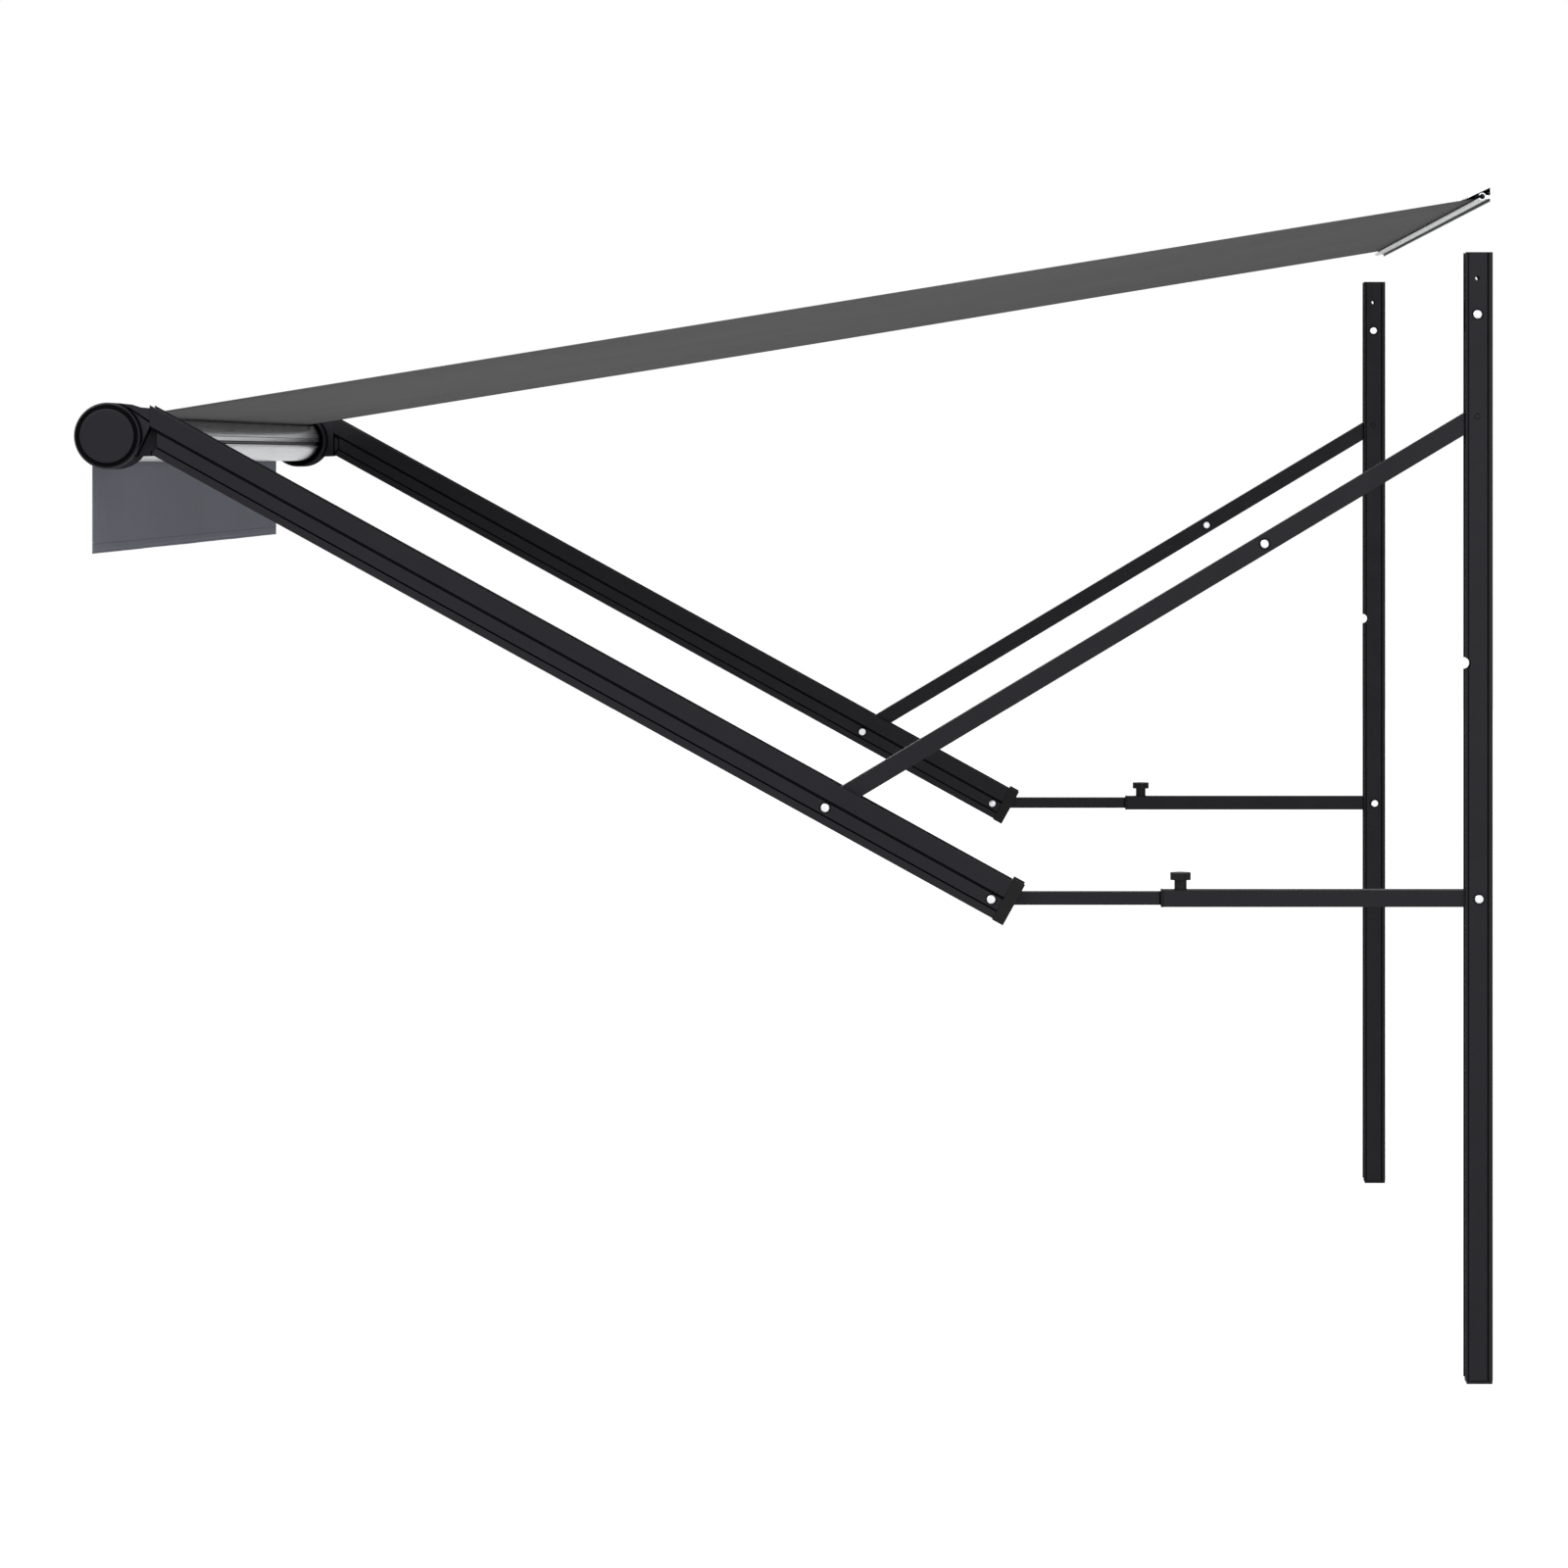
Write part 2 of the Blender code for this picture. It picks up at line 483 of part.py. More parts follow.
def main_arm_set(tag, side):
    """Main arm with its end cap, bolts, roller head and cover."""
    centre = side * ARM_SPACING / 2.0
    elbow = (centre, ELBOW[0], ELBOW[1])
    pitch_y = arm_local(*PITCH_PIVOT)[0]
    section = u_section(MAIN_WIDTH, -MAIN_WEB_FACE, MAIN_OPEN_EDGE, MAIN_WALL, True,
                        (MAIN_UPPER_GROOVE, MAIN_LOWER_GROOVE))
    foot_y = pitch_y + MAIN_FOOT_BEYOND_PIVOT
    arm = place(tag + "_main_arm", outline_mesh([section], "Y", -MAIN_BLANK_REACH, foot_y), BLACK_COAT,
                elbow, -MAIN_ARM_SLOPE)
    over = MAIN_WIDTH
    boolean(arm, rod_mesh(BOLT_SHAFT_RADIUS + RUN_GAP, -over, over, (0.0, 0.0)))
    boolean(arm, rod_mesh(BOLT_SHAFT_RADIUS + RUN_GAP, -over, over, (pitch_y, 0.0)))
    boolean(arm, box_mesh((-over, HEAD_CUT_Y - CUT_OVER, ROLLER_AXIS[1] - CUT_OVER),
                          (over, HEAD_CUT_Y, ROLLER_AXIS[1] + CUT_OVER)),
            location=(centre, 0.0, 0.0), tilt=0.0)
    ledge = MAIN_UPPER_GROOVE[0] - MAIN_UPPER_GROOVE[1] / 2.0
    recess = [arm_local(ROLLER_AXIS[0] + y, ROLLER_AXIS[1] + z) for y, z in HEAD_RECESS_EDGE]
    recess[0] = (recess[0][0], ledge)
    recess_end = -MAIN_BLANK_REACH - CUT_OVER
    recess += [(recess_end, recess[-1][1] - MAIN_WALL * 3), (recess_end, ledge)]
    boolean(arm, outline_mesh([recess], "X", -over, over))

    half = MAIN_WIDTH / 2.0
    grip = half + SEAT_GAP
    turned(tag + "_elbow_bolt", mirror_profile(bolt_profile(0.0, grip, grip), side), ZINC, elbow)
    for label, sign in (("out", side), ("in", -side)):
        near = SUPPORT_WIDTH / 2.0 + SEAT_GAP
        far = half - MAIN_WALL - SEAT_GAP
        low, high = (near, far) if sign > 0 else (-far, -near)
        spacer = place(tag + "_elbow_spacer_" + label, rod_mesh(SPACER_RADIUS, low, high), NYLON,
                       elbow)
        boolean(spacer, rod_mesh(BOLT_SHAFT_RADIUS + RUN_GAP, low - 0.01, high + 0.01))
        smooth(spacer)
        stub = bolt_profile(PITCH_STUB_INNER, grip, grip, nut=False)
        turned(tag + "_pitch_bolt_" + label, mirror_profile(stub, sign), ZINC,
               (centre, PITCH_PIVOT[0], PITCH_PIVOT[1]))

    cap_low = foot_y + SEAT_GAP
    cap = place(tag + "_arm_end_cap",
                box_mesh((-half - 0.0005, cap_low, -MAIN_WEB_FACE - CAP_PROUD_UNDER),
                         (half + 0.0005, cap_low + CAP_LENGTH, MAIN_OPEN_EDGE + CAP_PROUD_OVER)),
                NYLON, elbow, -MAIN_ARM_SLOPE)
    slot = CAP_SLOT_WIDTH / 2.0
    boolean(cap, box_mesh((-slot, cap_low - 0.01, -0.0120),
                          (slot, cap_low + CAP_LENGTH + 0.01, MAIN_OPEN_EDGE + 0.02)))
    plug = half - MAIN_WALL - SEAT_GAP
    boolean(cap, outline_mesh([[(cap_low - CAP_PLUG_LENGTH * 0.3, -0.0252),
                                (cap_low + 0.004, -0.0252), (cap_low + 0.004, -0.0170),
                                (cap_low - CAP_PLUG_LENGTH * 0.3, -0.0170)]],
                              "X", -plug, plug), "UNION")
    bevel(cap, 0.0012)

    head = (centre, ROLLER_AXIS[0], ROLLER_AXIS[1])
    inner_face, outer_face = bounds_x(side, HOUSING_INNER_FACE, HOUSING_OUTER_FACE)
    housing = place(tag + "_head_housing",
                    rod_mesh(HOUSING_RADIUS, inner_face, outer_face, steps=48), BLACK_COAT, head)
    neck_end = HEAD_CUT_Y - SEAT_GAP - ROLLER_AXIS[0]
    neck = [(-0.004, 0.0582), (0.0120, 0.0582), (0.0330, 0.0560), (0.0490, 0.0510),
            (neck_end, 0.0490), (neck_end, -0.0355), (0.0270, -0.0372), (-0.004, -0.0372)]
    boolean(housing, outline_mesh([neck], "X", -half + 0.0002, half - 0.0002), "UNION")
    head_y, head_z = arm_local(*ROLLER_AXIS)
    cut_y = arm_local(HEAD_CUT_Y, -0.41)[0]
    tongue = [(cut_y - 0.010 - head_y, -0.0250 - head_z), (cut_y + 0.090 - head_y, -0.0250 - head_z),
              (cut_y + 0.090 - head_y, 0.0200 - head_z), (cut_y - 0.010 - head_y, 0.0200 - head_z)]
    boolean(housing, outline_mesh([tongue], "X", -plug, plug), "UNION", tilt=-MAIN_ARM_SLOPE)
    boolean(housing, box_mesh((-HEAD_SLOT_HALF, -0.15, HEAD_SLOT_FLOOR - head_z),
                              (HEAD_SLOT_HALF, 0.15, HEAD_SLOT_FLOOR - head_z + 0.1)),
            tilt=-MAIN_ARM_SLOPE)
    hollow_low, hollow_high = bounds_x(side, HOUSING_INNER_FACE - 0.01,
                                       HOUSING_OUTER_FACE - HOUSING_PLATE)
    boolean(housing, rod_mesh(HOUSING_RADIUS - HOUSING_WALL, hollow_low, hollow_high, steps=48))
    near_x, far_x = bounds_x(side, NECK_RECESS_FLOOR, half + 0.002)
    boolean(housing, outline_mesh([NECK_RECESS], "X", near_x, far_x), tilt=0.0)
    near_x, far_x = bounds_x(side, half - MAIN_UPPER_GROOVE[2], half + 0.002)
    boolean(housing, outline_mesh([NECK_LINE], "X", near_x, far_x), tilt=0.0)
    smooth(housing)

    cover_at = HOUSING_OUTER_FACE + SEAT_GAP
    radius = HOUSING_RADIUS
    turned(tag + "_head_cover",
           mirror_profile([(0.0, cover_at), (radius, cover_at), (radius, cover_at + 0.0030),
                           (radius - 0.0014, cover_at + 0.0066), (COVER_RING, cover_at + 0.0084),
                           (COVER_RING - 0.0010, cover_at + COVER_GROOVE_FLOOR),
                           (COVER_DISC + 0.0010, cover_at + COVER_GROOVE_FLOOR),
                           (COVER_DISC, COVER_FACE - 0.0020), (COVER_DISC - 0.0012, COVER_FACE - 0.0004),
                           (COVER_DISC - 0.0034, COVER_FACE), (0.0, COVER_FACE)], side),
           BLACK_COAT, head, 48)


def hollow_bar(height, width, wall, low, high, round_low, round_high):
    """Side outline of a rectangular bar along -Y, with round ends where asked for."""
    half = height / 2.0
    outline = []
    if round_low:
        outline += [(half * math.cos(math.radians(a)) - low, half * math.sin(math.radians(a)))
                    for a in range(-90, 91, 15)]
    else:
        outline += [(-low, -half), (-low, half)]
    if round_high:
        outline += [(half - high + half * math.cos(math.radians(a)),
                     half * math.sin(math.radians(a))) for a in range(90, 271, 15)]
    else:
        outline += [(-high, half), (-high, -half)]
    return outline_mesh([outline], "X", -width / 2.0, width / 2.0)


def pitch_arm_set(tag, side):
    """Telescopic lower arm with its clamp knob."""
    centre = side * ARM_SPACING / 2.0
    pivot = (centre, LOWER_PIVOT[0], LOWER_PIVOT[1])
    reach = LOWER_PIVOT[0] - PITCH_PIVOT[0]
    tube = place(tag + "_pitch_tube",
                 hollow_bar(TUBE_HEIGHT, TUBE_WIDTH, TUBE_WALL, 0.0, TUBE_REACH, True, False),
                 BLACK_COAT, pivot)
    bore_y = TUBE_WIDTH / 2.0 - TUBE_WALL
    bore_z = TUBE_HEIGHT / 2.0 - TUBE_WALL
    boolean(tube, box_mesh((-bore_y, -TUBE_REACH - 0.01, -bore_z), (bore_y, 0.03, bore_z)))
    over = TUBE_WIDTH
    boolean(tube, rod_mesh(BOLT_SHAFT_RADIUS + RUN_GAP, -over, over, (0.0, 0.0)))
    stud = 0.004
    boolean(tube, rod_mesh(stud + RUN_GAP, 0.004, 0.03, (0.0, -KNOB_REACH), "Z"))

    collar = place(tag + "_tube_collar",
                   box_mesh((-TUBE_WIDTH / 2.0 - 0.0004, -TUBE_REACH - COLLAR_LENGTH,
                             -TUBE_HEIGHT / 2.0 - 0.0004),
                            (TUBE_WIDTH / 2.0 + 0.0004, -TUBE_REACH - SEAT_GAP,
                             TUBE_HEIGHT / 2.0 + 0.0004)), NYLON, pivot)
    rod_x = ROD_WIDTH / 2.0
    rod_z = ROD_HEIGHT / 2.0
    boolean(collar, box_mesh((-rod_x - RUN_GAP, -TUBE_REACH - 0.02, -rod_z - RUN_GAP),
                             (rod_x + RUN_GAP, -TUBE_REACH + 0.01, rod_z + RUN_GAP)))

    rod = place(tag + "_pitch_rod",
                hollow_bar(ROD_HEIGHT, ROD_WIDTH, ROD_WALL, ROD_INNER_END, reach + ROD_TIP,
                           False, True), BLACK_COAT, pivot)
    boolean(rod, box_mesh((-rod_x + ROD_WALL, -reach + 0.030, -rod_z + ROD_WALL),
                          (rod_x - ROD_WALL, -ROD_INNER_END + 0.01, rod_z - ROD_WALL)))
    boolean(rod, rod_mesh(BOLT_SHAFT_RADIUS + RUN_GAP, -over, over, (-reach, 0.0)))

    plug = place(tag + "_rod_plug",
                 box_mesh((-bore_y + RUN_GAP, -ROD_INNER_END + SEAT_GAP, -bore_z + RUN_GAP),
                          (bore_y - RUN_GAP, -ROD_INNER_END + 0.010, bore_z - RUN_GAP)), NYLON,
                 pivot)
    boolean(plug, box_mesh((-rod_x + ROD_WALL + SEAT_GAP, -ROD_INNER_END - PLUG_LENGTH,
                            -rod_z + ROD_WALL + SEAT_GAP),
                           (rod_x - ROD_WALL - SEAT_GAP, -ROD_INNER_END + 0.005,
                            rod_z - ROD_WALL - SEAT_GAP)), "UNION")

    base = TUBE_HEIGHT / 2.0 + SEAT_GAP
    under = base + KNOB_STEM_HEIGHT
    lobes = []
    for index in range(72):
        angle = math.tau * index / 72
        radius = KNOB_HEAD_RADIUS - KNOB_LOBE * (0.5 - 0.5 * math.cos(KNOB_LOBES * angle))
        lobes.append((radius * math.cos(angle), radius * math.sin(angle)))
    knob = place(tag + "_pitch_knob",
                 outline_mesh([lobes], "Z", under, under + KNOB_HEAD_HEIGHT), NYLON,
                 (centre, LOWER_PIVOT[0] - KNOB_REACH, LOWER_PIVOT[1]))
    bevel(knob, 0.0010)
    boolean(knob, rod_mesh(KNOB_STEM_RADIUS, base, under + 0.004, axis="Z", steps=32), "UNION")
    boolean(knob, rod_mesh(stud, rod_z + RUN_GAP, base + 0.004, axis="Z", steps=16), "UNION")
    smooth(knob)


def roller_set():
    """Roller tube with its motor, drive wheel, crown, idler plug and idler pin."""
    axis = (0.0, ROLLER_AXIS[0], ROLLER_AXIS[1])
    outer = []
    inner = []
    pocket_at = TUBE_RADIUS - 0.0015 - KEDER_POCKET
    neck_deg = math.degrees(SPARE_NECK_HALF / TUBE_RADIUS)
    wrap = KEDER_POCKET + 0.0015
    wrap_deg = math.degrees(wrap * 1.25 / pocket_at)
    for index in range(72):
        angle = index * 5.0
        near = min((abs((angle - k + 180.0) % 360.0 - 180.0), k) for k in KEDER_ANGLES)
        if near[0] > 0.1:
            direction = (math.cos(math.radians(angle)), math.sin(math.radians(angle)))
            if abs(angle - MARK_LINE_ANGLE) < 0.1:
                for turn, cut in ((-1.2, 0.0), (0.0, MARK_LINE_DEPTH), (1.2, 0.0)):
                    mark = math.radians(angle + turn)
                    outer.append(((TUBE_RADIUS - cut) * math.cos(mark),
                                  (TUBE_RADIUS - cut) * math.sin(mark)))
            elif near[0] > neck_deg + 1.0:
                outer.append((TUBE_RADIUS * direction[0], TUBE_RADIUS * direction[1]))
            if near[0] > wrap_deg + 1.0:
                inner.append(((TUBE_RADIUS - ROLLER_WALL) * direction[0],
                              (TUBE_RADIUS - ROLLER_WALL) * direction[1]))
            continue
        mid = math.radians(near[1])
        neck = SPARE_NECK_HALF if near[1] == SPARE_SLOT else KEDER_NECK_HALF
        along = (math.cos(mid), math.sin(mid))
        across = (-along[1], along[0])

        def spot(out, side):
            return (along[0] * out + across[0] * side, along[1] * out + across[1] * side)

        rim = math.sqrt(TUBE_RADIUS ** 2 - neck ** 2)
        start = math.asin(neck / KEDER_POCKET)
        outer.append(spot(rim, -neck))
        for step in range(9):
            turn = start + (math.tau - 2 * start) * step / 8
            outer.append(spot(pocket_at + KEDER_POCKET * math.cos(turn),
                              -KEDER_POCKET * math.sin(turn)))
        outer.append(spot(rim, neck))
        inner_rim = TUBE_RADIUS - ROLLER_WALL
        inner.append(spot(inner_rim * math.cos(math.radians(wrap_deg)),
                          -inner_rim * math.sin(math.radians(wrap_deg))))
        for step in range(7):
            turn = math.radians(90.0 + 180.0 * step / 6)
            inner.append(spot(pocket_at + wrap * math.cos(turn), -wrap * math.sin(turn)))
        inner.append(spot(inner_rim * math.cos(math.radians(wrap_deg)),
                          inner_rim * math.sin(math.radians(wrap_deg))))
    place("roller_tube", outline_mesh([outer, inner], "X", -ROLLER_HALF, ROLLER_HALF), ALUMINIUM,
          axis)

    def notched(name, low, high, bore, look):
        disc = place(name, rod_mesh(CROWN_RADIUS, low, high, steps=48), look, axis)
        for angle in KEDER_ANGLES:
            mid = math.radians(angle)
            boolean(disc, rod_mesh(wrap + 0.0022, low - 0.01, high + 0.01,
                                   (pocket_at * math.cos(mid), pocket_at * math.sin(mid))))
            boolean(disc, box_mesh((low - 0.01, pocket_at, -wrap - 0.0022),
                                   (high + 0.01, pocket_at + 0.02, wrap + 0.0022)), tilt=mid)
        boolean(disc, rod_mesh(bore, low - 0.02, high + 0.02))
        return smooth(disc)

    plate = ARM_SPACING / 2.0 + HOUSING_OUTER_FACE - HOUSING_PLATE - SEAT_GAP
    head_at = ROLLER_HALF + MOTOR_HEAD_GAP
    turned("tube_motor",
           [(0.0, MOTOR_END_X - AXLE_LENGTH), (AXLE_RADIUS, MOTOR_END_X - AXLE_LENGTH),
            (AXLE_RADIUS, MOTOR_END_X), (MOTOR_RADIUS, MOTOR_END_X),
            (MOTOR_RADIUS, head_at - MOTOR_HEAD_TAPER), (MOTOR_HEAD_RADIUS, head_at),
            (MOTOR_HEAD_RADIUS, plate), (0.0, plate)], PLASTIC, axis)
    crown_end = ROLLER_HALF - CROWN_INSET
    notched("motor_crown", crown_end - CROWN_LENGTH, crown_end, MOTOR_RADIUS + RUN_GAP, NYLON)
    wheel_end = MOTOR_END_X - WHEEL_INSET
    notched("drive_wheel", wheel_end - WHEEL_LENGTH, wheel_end, AXLE_RADIUS + RUN_GAP, NYLON)
    plug_end = -ROLLER_HALF + IDLER_INSET
    notched("idler_plug", plug_end, plug_end + IDLER_LENGTH, AXLE_RADIUS + RUN_GAP, NYLON)
    pin_end = plug_end + IDLER_LENGTH - IDLER_PIN_SHORT
    turned("idler_pin",
           [(0.0, -plate), (IDLER_HEAD_RADIUS, -plate), (IDLER_HEAD_RADIUS, IDLER_HEAD_LENGTH - plate),
            (AXLE_RADIUS, IDLER_HEAD_LENGTH - plate), (AXLE_RADIUS, pin_end), (0.0, pin_end)],
           ZINC, axis)


def cloth_and_rail():
    """Wall rail with its keder, the canopy and the valance."""
    groove = Vector(RAIL_GROOVE)

    def ring(radius, first, last, steps):
        """Points on a circle about the groove, from one angle in degrees to another."""
        made = []
        for step in range(steps + 1):
            angle = math.radians(first + (last - first) * step / steps)
            made.append((groove.x + radius * math.cos(angle), groove.y + radius * math.sin(angle)))
        return made

    low_lip, high_lip = 180.0 + RAIL_SLOT_HALF_DEG, 180.0 - RAIL_SLOT_HALF_DEG
    web_low = math.degrees(math.asin((RAIL_WEB[0] - groove.y) / RAIL_GROOVE_OUTER))
    web_high = math.degrees(math.asin((RAIL_WEB[1] - groove.y) / RAIL_GROOVE_OUTER))
    edge = Vector(RAIL_DRIP_EDGE)
    shoulder = Vector((-RAIL_FLANGE, RAIL_TOP_Z - RAIL_FLANGE * 0.25))
    slope = (edge - shoulder).normalized()
    under = Vector((slope.y, -slope.x)) * RAIL_DRIP_WALL
    if under.y > 0:
        under = -under
    corner = shoulder + under
    corner += slope * ((-RAIL_FLANGE - corner.x) / slope.x)
    outline = [edge[:], shoulder[:], (-RAIL_FLANGE * 0.5, RAIL_TOP_Z), (0.0, RAIL_TOP_Z),
               (0.0, RAIL_BOTTOM_Z), (-RAIL_FLANGE, RAIL_BOTTOM_Z), (-RAIL_FLANGE, RAIL_WEB[0])]
    outline += ring(RAIL_GROOVE_OUTER, 360.0 + web_low, low_lip, 8)
    outline += ring(RAIL_GROOVE_INNER, low_lip + 4.0, 360.0 + high_lip - 4.0, 16)
    outline += ring(RAIL_GROOVE_OUTER, high_lip, web_high, 9)
    outline += [(-RAIL_FLANGE, RAIL_WEB[1]), corner[:], (edge + under)[:]]
    place("awning_rail", outline_mesh([outline], "X", -RAIL_HALF, RAIL_HALF), ALUMINIUM)
    smooth(place("rail_keder", rod_mesh(RAIL_KEDER_RADIUS, -CLOTH_HALF, CLOTH_HALF, RAIL_GROOVE,
                                        steps=16), NYLON))

    axis = Vector(ROLLER_AXIS)
    mouth = groove + Vector((-RAIL_KEDER_RADIUS - SEAT_GAP, 0.0))
    out = Vector((math.cos(math.radians(CANOPY_SLOT)), math.sin(math.radians(CANOPY_SLOT))))
    lip = axis + (TUBE_RADIUS + CLOTH_THICKNESS / 2.0) * out
    end = axis + (TUBE_RADIUS - CLOTH_END_DEPTH) * out
    along = (lip - mouth).normalized()
    up = Vector((along.y, -along.x)) * (CLOTH_THICKNESS / 2.0)
    across = Vector((-out.y, out.x)) * (CLOTH_THICKNESS / 2.0)
    canopy_outline = [mouth + up, lip + up, lip + across, end + across, end - across,
                      lip - across - out * CLOTH_THICKNESS * 0.4, mouth - up]
    place("canopy", outline_mesh([[point[:] for point in canopy_outline]], "X", -CLOTH_HALF,
                                 CLOTH_HALF), CLOTH)

    pocket_at = TUBE_RADIUS - 0.0015 - KEDER_POCKET
    for name, angle in (("canopy_keder", CANOPY_SLOT), ("valance_keder", VALANCE_SLOT),
                        ("slot_filler", SPARE_SLOT)):
        mid = math.radians(angle)
        spot = (pocket_at * math.cos(mid), pocket_at * math.sin(mid))
        smooth(place(name, rod_mesh(KEDER_RADIUS, -CLOTH_HALF, CLOTH_HALF, spot, steps=16), NYLON,
                     (0.0, axis.x, axis.y)))

    front = -TUBE_RADIUS - SEAT_GAP - CLOTH_THICKNESS
    place("valance",
          box_mesh((-CLOTH_HALF, front, -VALANCE_DROP), (CLOTH_HALF, -TUBE_RADIUS - SEAT_GAP, 0.004)),
          CLOTH, (0.0, ROLLER_AXIS[0], ROLLER_AXIS[1]))


for label, sign in (("right", 1), ("left", -1)):
    channel_set(label, sign)
    support_arm_set(label, sign)
    main_arm_set(label, sign)
    pitch_arm_set(label, sign)
roller_set()
cloth_and_rail()
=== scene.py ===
"""Dressed model of the canvas patio awning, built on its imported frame.

Metres, Z up, the wall at y = 0 and the awning reaching out to -Y. The script
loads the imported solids, gives each one its finish, makes the cloth, its hems
and stitches and the small fasteners, and sets up a plain studio.
"""
from __future__ import annotations

import logging
import math
from collections.abc import Sequence
from dataclasses import dataclass, field
from enum import Enum

import bmesh
import bpy
from mathutils import Matrix, Vector


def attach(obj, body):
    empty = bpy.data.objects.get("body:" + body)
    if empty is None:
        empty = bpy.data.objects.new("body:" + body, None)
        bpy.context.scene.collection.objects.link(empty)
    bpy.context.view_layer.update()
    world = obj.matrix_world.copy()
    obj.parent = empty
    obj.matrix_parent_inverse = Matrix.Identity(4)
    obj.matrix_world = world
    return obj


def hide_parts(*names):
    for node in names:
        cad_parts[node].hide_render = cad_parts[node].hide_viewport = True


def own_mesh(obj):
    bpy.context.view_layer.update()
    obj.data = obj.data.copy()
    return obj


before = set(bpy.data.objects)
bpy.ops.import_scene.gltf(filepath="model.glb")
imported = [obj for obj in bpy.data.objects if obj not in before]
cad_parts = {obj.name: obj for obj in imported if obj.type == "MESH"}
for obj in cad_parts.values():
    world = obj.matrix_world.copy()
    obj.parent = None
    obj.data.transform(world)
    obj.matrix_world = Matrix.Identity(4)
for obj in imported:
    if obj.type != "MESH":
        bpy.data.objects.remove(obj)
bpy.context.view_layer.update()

LOG = logging.getLogger("canvas_awning")
PIECES = "awning_pieces"

WHITE = (1.0, 1.0, 1.0, 1.0)
BUMP_DEPTH = 0.0002
# Painted shade: the near-black that narrow grooves and corners are darkened towards, and the
# occlusion range over which it fades in.
RECESS_SHADE_COLOUR = "#020203"
RECESS_SHADE_OPENNESS = (0.72, 0.98)

ROLLER_AXIS = (-2.4471, -0.4296)
CLOTH_HALF_WIDTH = 1.1335
CLOTH_THICKNESS = 0.0007

STITCH_SIDES = 6
STITCH_PROFILE = ((0.45, -0.5), (0.95, -0.3), (1.0, 0.0), (0.95, 0.3), (0.45, 0.5))
SCREW_SIDES = 18
SCREW_PROFILE = ((0.0, 0.0), (1.0, 0.0), (1.0, 0.35), (0.86, 0.75), (0.55, 1.0), (0.36, 1.0),
                 (0.34, 0.45), (0.0, 0.45))


class Side(Enum):
    """The two arm sets, by the sign of X that they stand on."""

    RIGHT = 1
    LEFT = -1

    @property
    def tag(self) -> str:
        """Prefix of the node and body names on this side."""
        return self.name.lower()


def srgb(code: str) -> tuple[float, float, float, float]:
    """Turn an sRGB hex code into linear colour.

    Args:
        code: Six hex digits, with or without a leading hash.

    Returns:
        Linear red, green and blue, with an alpha of one.
    """
    digits = code.lstrip("#")
    values = [int(digits[i:i + 2], 16) / 255.0 for i in (0, 2, 4)]
    linear = [v / 12.92 if v <= 0.04045 else ((v + 0.055) / 1.055) ** 2.4 for v in values]
    return (linear[0], linear[1], linear[2], 1.0)


def per_metre(size_mm: float) -> float:
    """Scale of a pattern whose features are size_mm millimetres apart."""
    return 1000.0 / size_mm


def add_node(tree: bpy.types.NodeTree, kind: str, spot: tuple[float, float],
             values: dict[str | int, object] | None = None, **settings: object) -> bpy.types.Node:
    """Add one node to a shader or geometry tree.

    Args:
        tree: The tree that gets the node.
        kind: Blender's name of the node type.
        spot: Place of the node in the editor.
        values: Input values or source sockets, by socket name or number.
        settings: Properties of the node itself.

    Returns:
        The new node.
    """
    node = tree.nodes.new(kind)
    node.location = spot
    for key, value in settings.items():
        setattr(node, key, value)
    for key, value in (values or {}).items():
        socket = node.inputs[key]
        if isinstance(value, bpy.types.NodeSocket):
            tree.links.new(value, socket)
        else:
            socket.default_value = value
    return node


